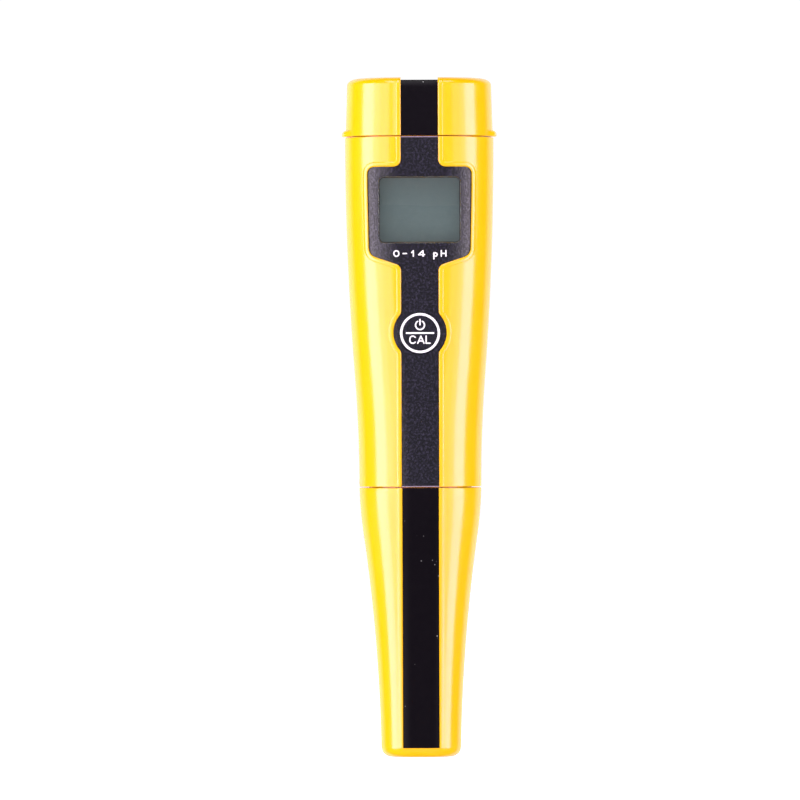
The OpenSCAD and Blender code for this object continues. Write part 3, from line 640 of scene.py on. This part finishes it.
def slab(build, form, outer, holes, top, bottom, soft=0.0, spacing=1.1):
    """A closed sheet on the form's front, from the depth top to the depth bottom, with soft upper edges."""
    loops = [np.asarray(outer, float)] + [np.asarray(h, float) for h in holes]

    def drawn_in(loop):
        d = np.roll(loop, -1, 0) - np.roll(loop, 1, 0)
        n = np.stack([d[:, 1], -d[:, 0]], 1) / np.hypot(*d.T)[:, None]
        return loop - n * soft

    inner = [drawn_in(loop) for loop in loops] if soft else loops
    front_sheet(build, form, inner[0], inner[1:], top, spacing)
    front_sheet(build, form, loops[0], loops[1:], bottom, 2.5 * spacing, fine=False)
    for loop, near in zip(loops, inner):
        rows = []
        for a in (np.radians([0, 30, 60, 90]) if soft else [0.0]):
            at = near + (loop - near) * math.sin(a)
            sink = top + soft * (1 - math.cos(a))
            rows.append(build.add(form.on_front(at[:, 0], at[:, 1], sink)[0]))
        rows.append(build.add(form.on_front(loop[:, 0], loop[:, 1], bottom)[0]))
        build.loft(rows)


def make_film():
    line = film_edge(HOUSE_LOW, HOUSE_HIGH)
    top = [(x, HOUSE_HIGH) for x in np.linspace(STRIPE_HALF_W, -STRIPE_HALF_W, 12)[1:-1]]
    low = [(x, HOUSE_LOW) for x in np.linspace(-STRIPE_HALF_W, STRIPE_HALF_W, 12)[1:-1]]
    outer = np.concatenate([line, top, (line * [-1, 1])[::-1], low])
    window = rounded_rect(WINDOW_W, WINDOW_H, WINDOW_R, WINDOW_Z)[::-1]
    key = circle(KEY_R + PLAY, KEY_Z)[::-1]
    build = Build()
    slab(build, HOUSING, outer, [window, key], FILM_SINK, FLOOR_SINK, spacing=1.0)
    return build.finish("front_film", "meter_body", ["front_overlay"])


def make_window():
    """A flat pane sunk into the opening, its edges softened."""
    build = Build()
    back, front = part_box("display_window")[1].y / MM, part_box("display_window")[0].y / MM
    soft = 0.25
    rows = []
    for inset, y in ((0, back), (0, front + soft), (0.3 * soft, front + 0.3 * soft), (soft, front)):
        less = PLAY + 2 * inset
        loop = rounded_rect(WINDOW_W - less, WINDOW_H - less, WINDOW_R - less / 2, WINDOW_Z)
        rows.append(build.add([(x, y, z) for x, z in loop]))
    for a, b in zip(rows, rows[1:]):
        bridge_loops(build, a, b)
    build.face(rows[0])
    build.face(rows[-1])
    return build.finish("window_pane", "meter_body", ["display_window"])


def make_key():
    build = Build()
    slab(build, HOUSING, circle(KEY_R, KEY_Z), [], FILM_SINK, FLOOR_SINK, soft=0.08, spacing=0.9)
    return build.finish("key_face", "key", ["key_disc"], 40)


def printed(node, name, body):
    """The node's printing, laid on the curve of the film."""
    mesh = nodes[node].data.copy()
    made = bpy.data.objects.new(name, mesh)
    bpy.context.scene.collection.objects.link(made)
    face_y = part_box(node)[1].y
    co = np.array([v.co for v in mesh.vertices])
    surface = HOUSING.on_front(co[:, 0] / MM, co[:, 2] / MM, FILM_SINK)[0][:, 1] * MM
    lift = 0.00002
    ink = 0.4
    for vertex, y in zip(mesh.vertices, surface):
        vertex.co.y = y - lift * 0.5 + (vertex.co.y - face_y) * ink
    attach(made, body)
    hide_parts(node)
    return made


# ---- caps ----

BED_POINTS = 6
SIDE_POINTS = 28


def striped_section(form, z, half_w, bead_scale, depth, fall=0.0):
    """A cap's section with its stripe's bed, sunk by at least fall: a ring from the front's middle."""
    bed = [(x, FLOOR_SINK * depth) for x in np.linspace(0, half_w, BED_POINTS)[:-1]]
    bead = []
    for reach, sink in BEAD[::-1]:
        height = bead_scale if sink < 0 else 1
        bead.append((half_w + reach * bead_scale, sink * depth * height))
    path = np.array(bed + bead)
    front = form.across(path[:, 0], z, path[:, 1] + fall)
    plain = form.across(path[::-1, 0], z, fall)
    back = plain._replace(turn=math.pi - plain.turn)
    turns = np.linspace(float(front.turn[-1]), math.pi - float(front.turn[-1]), SIDE_POINTS + 2)[1:-1]
    sides = Ring(np.ones(len(turns)), turns, np.ones(len(turns)), np.full(len(turns), fall))
    return mirrored(joined(front, sides, back))


BCAP_CROWN_W = 3.0
BCAP_CROWN_H = 1.8
BCAP_BED = STRIPE_HALF_W - PLAY / 2


def crown_fall(z):
    """How far the battery cap's sides have fallen in at height z, near its top."""
    rise = max(0.0, z - (TOTAL_L - BCAP_CROWN_H)) / BCAP_CROWN_H
    return BCAP_CROWN_W * (1 - math.sqrt(max(0.0, 1 - rise * rise)))


def battery_cap_levels():
    """(height, how far the side has fallen in)"""
    levels = [(BCAP_LOW, RIM_R), (BCAP_LOW + 0.07, 0.04)]
    levels += [(z, 0.0) for z in np.arange(BCAP_LOW + RIM_R, BCAP_LOW + 2.0, 0.16)]
    levels += [(z, 0.0) for z in np.linspace(BCAP_LOW + 2.2, TOTAL_L - BCAP_CROWN_H, 9)]
    heights = [TOTAL_L - BCAP_CROWN_H * (1 - math.sin(a)) for a in np.radians(np.arange(6, 91, 6))]
    return levels + [(z, crown_fall(z)) for z in heights]


def thumb_lips(points, z):
    """Moves the sides out where the two lips to pull the cap by stand out."""
    lip_out, lip_z, lip_h, lip_y, fade = 1.08, BCAP_LOW + 0.5, 1.15, 5.8, 0.6
    bump = math.sqrt(max(0.0, 1 - ((z - lip_z) / lip_h) ** 2))
    edge = np.clip((lip_y - np.abs(points[:, 1])) / fade, 0, 1)
    points[:, 0] += np.sign(points[:, 0]) * lip_out * bump * edge * edge * (3 - 2 * edge)


def close_top(build, loop, channel):
    """Flat faces over the last loop: high ones at both sides and a low one in the channel between them."""
    places = np.array([build.points[i] for i in loop])
    for side in (1, -1):
        high = [i for i, p in zip(loop, places) if p[0] * side > channel - 1e-3 and p[2] > TOTAL_L - 0.01]
        build.face(high)
        wall = [i for i, p in zip(loop, places) if abs(p[0] * side - channel) < 1e-3]
        front = sorted((i for i in wall if build.points[i][1] < 0), key=lambda i: build.points[i][2])
        back = sorted((i for i in wall if build.points[i][1] > 0), key=lambda i: build.points[i][2])
        build.face([front[0], front[-1], back[-1], back[0]])
    build.face([i for i, p in zip(loop, places) if abs(p[0]) < channel + 1e-3 and p[2] < TOTAL_L - 0.01])


def make_battery_cap():
    build = Build()
    channel_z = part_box("battery_cap_stripe")[1].z / MM
    channel = BCAP_BED + BEAD[-1][0]
    half = np.zeros(BED_POINTS * 2 + (len(BEAD) - 1) * 2 + SIDE_POINTS, bool)
    half[:BED_POINTS], half[-BED_POINTS:] = True, True
    bed = np.concatenate([half, half[::-1][1:-1]])
    rows = []
    for z, fall in battery_cap_levels():
        ring = striped_section(BCAP, z, BCAP_BED, 1.0, 1.0, fall)
        points = BCAP.place(ring, z)
        thumb_lips(points, z)
        points[bed & (points[:, 2] > channel_z), 2] = channel_z
        rows.append(build.add(points))
    build.loft(rows)
    close_top(build, rows[-1], channel)
    base = striped_section(BCAP, BCAP_LOW, BCAP_BED, 1.0, 1.0)
    base = base._replace(sink=np.zeros(len(base.turn)))
    groove_low, groove_high, groove_d, skirt_low, skirt_high = 165.8, 167.4, 0.97, 164.0, 171.65
    below = [rows[0]]
    for z, sink in (
        (BCAP_LOW, 0), (groove_high, 0), (groove_high, groove_d), (groove_low, groove_d),
        (groove_low, 0), (skirt_low + 0.4, 0), (skirt_low, 0.4),
    ):
        below.append(build.add(SKIRT.place(base, z, sink)))
    for z in (skirt_low, skirt_high):
        below.append(build.add(SKIRT_INSIDE.place(base, z)))
    for z, sink in ((skirt_high, 2.2), (TOTAL_L - 3.2, 2.2), (TOTAL_L - 2.2, 3.4)):
        below.append(build.add(BCAP.place(base, z, sink)))
    build.loft(below)
    build.fan(below[-1], (0, 0, TOTAL_L - 2.2))
    return build.finish("battery_cap", "battery_cap", ["battery_cap_shell"])


ECAP_STRIPE_HALF_W = 4.93
ECAP_STRIPE_LOW = 2.6


def make_electrode_cap():
    build = Build()
    levels = [(CAP_CORNER_R * (1 - math.cos(a)), 0.0) for a in np.radians(np.arange(0, 72, 8.0))]
    levels = [v for v in levels if v[0] < ECAP_STRIPE_LOW - 0.2]
    levels += [(ECAP_STRIPE_LOW - 0.06, 0.0), (ECAP_STRIPE_LOW - 0.05, 1.0)]
    levels += [(z, 1.0) for z in np.linspace(ECAP_STRIPE_LOW + 0.5, CAP_CORNER_R + 1.5, 4)]
    levels += [(z, 1.0) for z in np.linspace(5.5, ECAP_HIGH - RIM_R, 48)]
    rows = []
    for z, depth in levels:
        size = float(between(z, 0, SEAM_LOW, 0.55, 1.0))
        ring = striped_section(ECAP, z, ECAP_STRIPE_HALF_W, size, depth)
        rows.append(build.add(ECAP.place(ring, z)))
    top = striped_section(ECAP, ECAP_HIGH, ECAP_STRIPE_HALF_W, 1.0, 1.0)
    for rise, sink in ((0.08, 0.04), (RIM_R, RIM_R)):
        rows.append(build.add(ECAP.place(top, ECAP_HIGH - RIM_R + rise, sink)))
    around = ECAP.place(top._replace(sink=np.zeros(len(top.turn))), ECAP_HIGH)
    bore_r, bore_z, wall, floor_z = 14.3, 64.0, 2.1, 2.4
    for r, z in ((bore_r + 0.25, ECAP_HIGH), (bore_r, ECAP_HIGH - 0.25), (bore_r, bore_z)):
        rows.append(build.add(round_points(around, r, z)))
    for z in np.linspace(bore_z - 1.5, floor_z, 12):
        rows.append(build.add(round_points(around, float(cap_half(max(z, 4.0))) - wall, z)))
    build.loft(rows)
    build.fan(rows[-1], (0, 0, floor_z))
    build.fan(rows[0], (0, 0, 0))
    return build.finish("electrode_cap_shell", "cap_base", ["electrode_cap"])


def stripe(form, half_w, low, high, name, body, node):
    """A thin inlay that fills the bed in a cap's front."""
    build = Build()
    side = [(half_w, z) for z in np.linspace(low, high, max(4, int((high - low) / 1.5)))]
    top = [(x, high) for x in np.linspace(half_w, -half_w, 12)[1:-1]]
    bottom = [(x, low) for x in np.linspace(-half_w, half_w, 12)[1:-1]]
    outer = np.array(side + top + [(-x, z) for x, z in side[::-1]] + bottom)
    slab(build, form, outer, [], FILM_SINK, FLOOR_SINK - 0.01, spacing=1.3)
    return build.finish(name, body, [node])


def make_stripes():
    lower = stripe(
        ECAP, ECAP_STRIPE_HALF_W, ECAP_STRIPE_LOW, ECAP_HIGH,
        "electrode_cap_inlay", "cap_base", "electrode_cap_stripe",
    )
    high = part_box("battery_cap_stripe")[1].z / MM
    upper = stripe(
        BCAP, BCAP_BED, BCAP_LOW, high, "battery_cap_inlay", "battery_cap", "battery_cap_stripe",
    )
    for vertex in upper.data.vertices:
        vertex.co.y += crown_fall(vertex.co.z / MM) * MM
    return lower, upper


# ---- materials ----

class Paint:
    """Short calls for building one node material."""

    def __init__(self, name):
        self.material = bpy.data.materials.new(name)
        self.material.use_nodes = True
        self.tree = self.material.node_tree
        self.shader = self.tree.nodes["Principled BSDF"]
        self.place = self.add("ShaderNodeTexCoord").outputs["Object"]

    def add(self, kind, **inputs):
        node = self.tree.nodes.new(kind)
        for key, value in inputs.items():
            self.give(node.inputs[key.replace("_", " ")], value)
        return node

    def give(self, socket, value):
        if isinstance(value, bpy.types.NodeSocket):
            self.tree.links.new(value, socket)
        else:
            socket.default_value = value

    def set(self, **inputs):
        for key, value in inputs.items():
            self.give(self.shader.inputs[key.replace("_", " ")], value)

    def noise(self, scale, detail=3.0, roughness=0.55, stretch=(1, 1, 1)):
        place = self.place
        if stretch != (1, 1, 1):
            place = self.add("ShaderNodeMapping", Vector=self.place, Scale=stretch).outputs["Vector"]
        made = self.add("ShaderNodeTexNoise", Vector=place, Scale=scale, Detail=detail, Roughness=roughness)
        return made.outputs["Fac"]

    def cells(self, scale):
        return self.add("ShaderNodeTexVoronoi", Vector=self.place, Scale=scale)

    def spread(self, value, low, high, out_low, out_high):
        node = self.add("ShaderNodeMapRange")
        node.clamp = True
        for socket, v in zip(node.inputs, (value, low, high, out_low, out_high)):
            self.give(socket, v)
        return node.outputs["Result"]

    def math(self, operation, a, b=0.0):
        node = self.add("ShaderNodeMath")
        node.operation = operation
        self.give(node.inputs[0], a)
        self.give(node.inputs[1], b)
        return node.outputs[0]

    def mix(self, fac, a, b):
        node = self.add("ShaderNodeMix")
        node.data_type = "RGBA"
        self.give(node.inputs[0], fac)
        self.give(node.inputs[6], a)
        self.give(node.inputs[7], b)
        return node.outputs[2]

    def bump(self, height, strength, distance):
        before = self.shader.inputs["Normal"].links
        node = self.add("ShaderNodeBump", Height=height, Strength=strength, Distance=distance)
        if before:
            self.give(node.inputs["Normal"], before[0].from_socket)
        self.give(self.shader.inputs["Normal"], node.outputs["Normal"])

    def sharp_edge_mask(self):
        """Near 1 along sharp edges and 0 on faces."""
        bevel = self.add("ShaderNodeBevel", Radius=0.0004)
        bevel.samples = 4
        geometry_node = self.add("ShaderNodeNewGeometry")
        dot = self.add("ShaderNodeVectorMath")
        dot.operation = "DOT_PRODUCT"
        self.give(dot.inputs[0], bevel.outputs["Normal"])
        self.give(dot.inputs[1], geometry_node.outputs["Normal"])
        return self.spread(dot.outputs["Value"], 0.995, 0.9, 0.0, 1.0)


def rgb(r, g, b):
    return (r, g, b, 1.0)


def yellow_plastic():
    p = Paint("yellow_plastic")
    cloud = p.noise(35.0)
    p.set(
        Base_Color=p.mix(p.spread(cloud, 0.35, 0.65, 0, 1), rgb(1.0, 0.555, 0.0), rgb(1.0, 0.57, 0.0005)),
        Roughness=p.spread(p.noise(260.0, 5.0), 0.35, 0.65, 0.18, 0.21),
        Specular_IOR_Level=0.95, Specular_Tint=rgb(1.0, 0.5, 1.0),
    )
    p.bump(p.noise(5200.0, 2.0), 0.03, 0.00003)
    p.bump(p.noise(90.0, 1.0), 0.02, 0.00015)
    return p.material


def film_black():
    """Grained black film, with pale bands painted along its two ends as a painted highlight where the seams
    catch light.
    """
    p = Paint("film_black")
    grain = p.noise(1700.0, 2.0, 0.6)
    height = p.add("ShaderNodeSeparateXYZ", Vector=p.place).outputs["Z"]
    # Pale bands along the top and bottom ends: painted highlight where the seams catch light.
    painted_top_highlight = p.spread(height, (HOUSE_HIGH - 0.26) * MM, (HOUSE_HIGH - 0.20) * MM, 0.0, 1.0)
    painted_low_highlight = p.spread(height, (HOUSE_LOW + 0.20) * MM, (HOUSE_LOW + 0.26) * MM, 1.0, 0.0)
    lift = p.spread(grain, 0.45, 0.68, 0.0, 1.0)
    face = p.mix(lift, rgb(0.0025, 0.0018, 0.0065), rgb(0.034, 0.030, 0.052))
    p.set(
        Base_Color=p.mix(p.math("ADD", painted_top_highlight, painted_low_highlight), face, rgb(0.33, 0.25, 0.33)),
        Roughness=p.spread(grain, 0.4, 0.62, 0.38, 0.18), Specular_IOR_Level=0.45,
    )
    p.bump(grain, 0.9, 0.00012)
    return p.material


def stripe_black():
    """Smooth dark inlay with a few specks of dust."""
    p = Paint("stripe_black")
    cells = p.cells(520.0)
    keep = p.spread(p.noise(180.0, 1.0), 0.55, 0.58, 0.0, 1.0)
    dust = p.math("MULTIPLY", p.spread(cells.outputs["Distance"], 0.04, 0.11, 1.0, 0.0), keep)
    p.set(
        Base_Color=p.mix(dust, rgb(0.0022, 0.0006, 0.0032), rgb(0.45, 0.45, 0.45)),
        Roughness=p.spread(p.noise(900.0), 0.3, 0.7, 0.34, 0.46), Specular_IOR_Level=0.15,
    )
    p.bump(p.noise(2600.0), 0.12, 0.00003)
    return p.material


def print_white():
    p = Paint("print_white")
    p.set(
        Base_Color=p.mix(p.noise(3000.0), rgb(0.93, 0.90, 0.95), rgb(1.0, 0.97, 1.0)),
        Roughness=p.spread(p.noise(2500.0), 0.3, 0.7, 0.45, 0.6),
    )
    p.bump(p.noise(4000.0), 0.2, 0.00001)
    return p.material


def window_clear():
    p = Paint("window_clear")
    haze = p.noise(240.0, 4.0, 0.6, (1, 1, 0.35))
    p.set(
        Base_Color=p.mix(haze, rgb(0.93, 0.95, 0.96), rgb(0.97, 0.98, 0.99)),
        Roughness=p.spread(haze, 0.5, 0.75, 0.02, 0.10), IOR=1.49, Transmission_Weight=1.0,
    )
    p.bump(p.noise(700.0, 2.0, 0.5, (1, 1, 0.04)), 0.04, 0.00002)
    return p.material


def lcd_glass():
    """The grey-green polariser on the display's face."""
    p = Paint("lcd_glass")
    grain = p.noise(900.0, 3.0)
    p.set(
        Base_Color=p.mix(grain, rgb(0.165, 0.240, 0.236), rgb(0.205, 0.290, 0.282)),
        Roughness=p.spread(p.noise(500.0), 0.3, 0.7, 0.30, 0.42), Specular_IOR_Level=0.45,
    )
    p.bump(grain, 0.05, 0.00002)
    return p.material


def moulded(name, dark, light, rough=0.5, grain=1500.0):
    """Plastic, rubber or ceramic with a fine grain and paler edges."""
    p = Paint(name)
    cloud = p.noise(grain * 0.12)
    edge = p.sharp_edge_mask()
    base = p.mix(cloud, rgb(*dark), rgb(*light))
    # A paler colour mixed in along sharp edges.
    pale_edge_colour = tuple(min(1.0, v * 1.7 + 0.03) for v in light)
    p.set(
        Base_Color=p.mix(p.math("MULTIPLY", edge, 0.35), base, rgb(*pale_edge_colour)),
        Roughness=p.spread(p.noise(grain * 0.5), 0.3, 0.7, rough - 0.07, rough + 0.07),
    )
    p.bump(p.noise(grain), 0.25, 0.00004)
    return p.material


def metal(name, colour, rough, stretch=(1, 1, 12)):
    """Brushed metal."""
    p = Paint(name)
    brushed = p.noise(900.0, 4.0, 0.6, stretch)
    darker = tuple(v * 0.8 for v in colour)
    p.set(
        Base_Color=p.mix(brushed, rgb(*darker), rgb(*colour)), Metallic=1.0,
        Roughness=p.spread(brushed, 0.3, 0.7, rough - 0.07, rough + 0.08),
    )
    p.bump(brushed, 0.12, 0.00001)
    return p.material


def board_green():
    """Solder mask over faint copper tracks."""
    p = Paint("board_green")
    tracks = p.spread(p.cells(420.0).outputs["Distance"], 0.36, 0.42, 0.0, 1.0)
    p.set(
        Base_Color=p.mix(tracks, rgb(0.010, 0.085, 0.035), rgb(0.022, 0.14, 0.05)),
        Roughness=p.spread(p.noise(700.0), 0.3, 0.7, 0.25, 0.38), Coat_Weight=0.4,
    )
    p.bump(tracks, 0.3, 0.00002)
    return p.material


def sponge():
    p = Paint("sponge")
    # Darker towards the middle of each pore: painted shade in the holes, whose cells also give the pores'
    # bump.
    holes = p.cells(900.0).outputs["Distance"]
    p.set(
        Base_Color=p.mix(p.spread(holes, 0.0, 0.5, 0, 1), rgb(0.78, 0.66, 0.36), rgb(0.95, 0.86, 0.58)),
        Roughness=0.9, Sheen_Weight=0.3,
    )
    p.bump(holes, 0.9, 0.0004)
    return p.material


def electrode_glass():
    p = Paint("electrode_glass")
    p.set(
        Base_Color=p.mix(p.noise(200.0), rgb(0.90, 0.95, 0.96), rgb(0.97, 0.99, 0.99)),
        Roughness=p.spread(p.noise(300.0), 0.4, 0.7, 0.01, 0.05), IOR=1.5, Transmission_Weight=1.0,
    )
    p.bump(p.noise(150.0, 1.0), 0.05, 0.0001)
    return p.material


def make_materials():
    dark = ((0.018, 0.018, 0.020), (0.030, 0.030, 0.033))
    return {
        "yellow_plastic": yellow_plastic(), "film_black": film_black(), "stripe_black": stripe_black(),
        "print_white": print_white(), "window_clear": window_clear(), "lcd_glass": lcd_glass(),
        "reflector_grey": moulded("reflector_grey", (0.14, 0.17, 0.17), (0.19, 0.23, 0.23), 0.4),
        "black_plastic": moulded("black_plastic", *dark),
        "zebra_rubber": moulded("zebra_rubber", (0.12, 0.12, 0.13), (0.3, 0.3, 0.32), 0.7),
        "board_green": board_green(),
        "chip_epoxy": moulded("chip_epoxy", (0.015, 0.015, 0.016), (0.03, 0.03, 0.03), 0.6, 4000.0),
        "ceramic_tan": moulded("ceramic_tan", (0.42, 0.30, 0.18), (0.55, 0.42, 0.27), 0.5),
        "steel": metal("steel", (0.62, 0.62, 0.63), 0.3),
        "cell_steel": metal("cell_steel", (0.78, 0.78, 0.79), 0.2, (1, 1, 1)),
        "carrier_grey": moulded("carrier_grey", (0.50, 0.50, 0.49), (0.6, 0.6, 0.58), 0.5),
        "contact_brass": metal("contact_brass", (0.80, 0.60, 0.25), 0.28),
        "seal_rubber": moulded("seal_rubber", (0.012, 0.012, 0.012), (0.025, 0.025, 0.025), 0.55, 2500.0),
        "sponge": sponge(),
        "barrel_plastic": moulded("barrel_plastic", (0.020, 0.022, 0.030), (0.032, 0.035, 0.046), 0.33),
        "electrode_glass": electrode_glass(),
        "silver": metal("silver", (0.82, 0.81, 0.78), 0.25),
        "junction_white": moulded("junction_white", (0.78, 0.77, 0.72), (0.9, 0.89, 0.85), 0.75, 5000.0),
    }


def dress(pieces):
    """Gives every CAD node and every new piece the material of its slot."""
    made = make_materials()
    slots = {s["node"]: s["material_slot"] for s in frame["record"]["subparts"]}
    for name, node in nodes.items():
        node.data.materials.clear()
        node.data.materials.append(made[slots[name]])
    for piece, slot in pieces:
        piece.data.materials.clear()
        piece.data.materials.append(made[slot])


ROUNDED_NODES = (
    "retaining_nut", "electrode_barrel", "battery_tray", "board_carrier", "switch_body", "contact_carrier",
    "lcd_frame", "button_cells", "electrode_socket", "electrode_plug", "controller_chip", "soaking_sponge",
)


def soften_edges():
    for name in ROUNDED_NODES:
        bevel = nodes[name].modifiers.new("edge", "BEVEL")
        bevel.width = 0.00012
        bevel.segments = 2
        bevel.limit_method = "ANGLE"
        bevel.angle_limit = math.radians(50)
        bevel.harden_normals = False


# ---- light, floor and camera ----

WORLD_FRONT = 0.30
WORLD_SIDE = 0.03
WORLD_BACK = 1.05


def make_world():
    """A dim room in front, dark to both sides, and a lit white wall behind."""
    world = bpy.data.worlds.new("studio")
    bpy.context.scene.world = world
    world.use_nodes = True
    tree = world.node_tree
    background = tree.nodes["Background"]
    place = tree.nodes.new("ShaderNodeTexCoord").outputs["Generated"]
    parts = tree.nodes.new("ShaderNodeSeparateXYZ")
    tree.links.new(place, parts.inputs[0])

    def ramp(low, high, out_low, out_high):
        made = tree.nodes.new("ShaderNodeMapRange")
        tree.links.new(parts.outputs["Y"], made.inputs[0])
        for socket, v in zip(made.inputs[1:5], (low, high, out_low, out_high)):
            socket.default_value = v
        return made.outputs["Result"]

    both = tree.nodes.new("ShaderNodeMath")
    both.operation = "ADD"
    tree.links.new(ramp(0.55, 0.75, WORLD_SIDE, WORLD_BACK), both.inputs[0])
    tree.links.new(ramp(-0.75, -0.45, WORLD_FRONT - WORLD_SIDE, 0.0), both.inputs[1])
    seen = tree.nodes.new("ShaderNodeMix")
    rays = tree.nodes.new("ShaderNodeLightPath")
    tree.links.new(rays.outputs["Is Camera Ray"], seen.inputs[0])
    tree.links.new(both.outputs[0], seen.inputs[2])
    seen.inputs[3].default_value = 1.05
    tree.links.new(seen.outputs[0], background.inputs["Strength"])
    background.inputs["Color"].default_value = (1, 1, 1, 1)


LIT_Z = 0.10


def soft_box(name, angle, distance, width, height, power, tint, lift=0.0):
    """A tall soft light at an angle round from the front, to the right if positive."""
    light = bpy.data.lights.new(name, "AREA")
    light.shape = "RECTANGLE"
    light.size, light.size_y, light.energy, light.color = width, height, power, tint
    made = bpy.data.objects.new(name, light)
    bpy.context.scene.collection.objects.link(made)
    a = math.radians(angle)
    made.location = (distance * math.sin(a), -distance * math.cos(a), LIT_Z + lift)
    aim = Vector((0, 0, LIT_Z)) - made.location
    made.rotation_euler = aim.to_track_quat("-Z", "Y").to_euler()
    made.visible_camera = False


def make_lights():
    soft_box("left_box", -77, 0.9, 0.44, 0.8, 6.7, (1.0, 0.88, 1.0))
    soft_box("left_mid", -55, 0.95, 0.26, 0.8, 1.9, (1.0, 0.90, 1.0))
    soft_box("left_fill", -36, 0.95, 0.34, 0.8, 1.7, (1.0, 0.9, 1.0))
    soft_box("right_box", 77, 0.9, 0.40, 0.8, 5.7, (1.0, 0.88, 1.0))
    soft_box("right_mid", 58, 0.95, 0.22, 0.8, 1.0, (1.0, 0.90, 1.0))
    soft_box("right_fill", 42, 0.95, 0.28, 0.8, 0.7, (1.0, 0.9, 1.0))
    soft_box("front_box", -12, 1.2, 1.2, 0.8, 8.0, (1.0, 0.92, 1.0), lift=1.1)
    soft_box("top_box", 0, 0.35, 0.8, 0.5, 4.0, (1.0, 1.0, 1.0), lift=0.9)


def make_floor():
    """A plain pale floor, wide enough to reach past every view."""
    mesh = bpy.data.meshes.new("floor")
    bm = bmesh.new()
    bmesh.ops.create_grid(bm, x_segments=8, y_segments=8, size=30.0)
    bm.to_mesh(mesh)
    bm.free()
    floor = bpy.data.objects.new("floor", mesh)
    floor.location.z = -0.00005
    bpy.context.scene.collection.objects.link(floor)
    p = Paint("floor_white")
    seen = p.add("ShaderNodeLightPath").outputs["Is Camera Ray"]
    p.set(
        Base_Color=rgb(0.9, 0.9, 0.9), Roughness=p.spread(p.noise(40.0), 0.3, 0.7, 0.6, 0.7),
        Emission_Color=rgb(1, 1, 1), Emission_Strength=p.spread(seen, 0.0, 1.0, 0.15, 0.8),
    )
    mesh.materials.append(p.material)
    floor.visible_glossy = False
    floor.visible_shadow = False


CAMERA_ROLL = 0.2


def make_camera():
    """Level and far off, a little to the left of the pen."""
    data = bpy.data.cameras.new("camera")
    data.sensor_width = 36.0
    data.lens = 395.4
    data.clip_start, data.clip_end = 0.1, 100.0
    made = bpy.data.objects.new("camera", data)
    bpy.context.scene.collection.objects.link(made)
    made.location = (-0.0055, -2.4, 0.0973)
    made.rotation_euler = (math.radians(90), math.radians(CAMERA_ROLL), 0)
    bpy.context.scene.camera = made
    bpy.context.scene.view_settings.view_transform = "Standard"


# ---- the whole ----

def main():
    pieces = [
        (make_housing(), "yellow_plastic"), (make_film(), "film_black"), (make_window(), "window_clear"),
        (make_key(), "film_black"), (make_battery_cap(), "yellow_plastic"),
        (make_electrode_cap(), "yellow_plastic"),
        (printed("overlay_print", "caption", "meter_body"), "print_white"),
        (printed("key_print", "key_symbols", "key"), "print_white"),
    ]
    pieces += [(piece, "stripe_black") for piece in make_stripes()]
    dress(pieces)
    soften_edges()
    make_world()
    make_lights()
    make_floor()
    make_camera()


main()
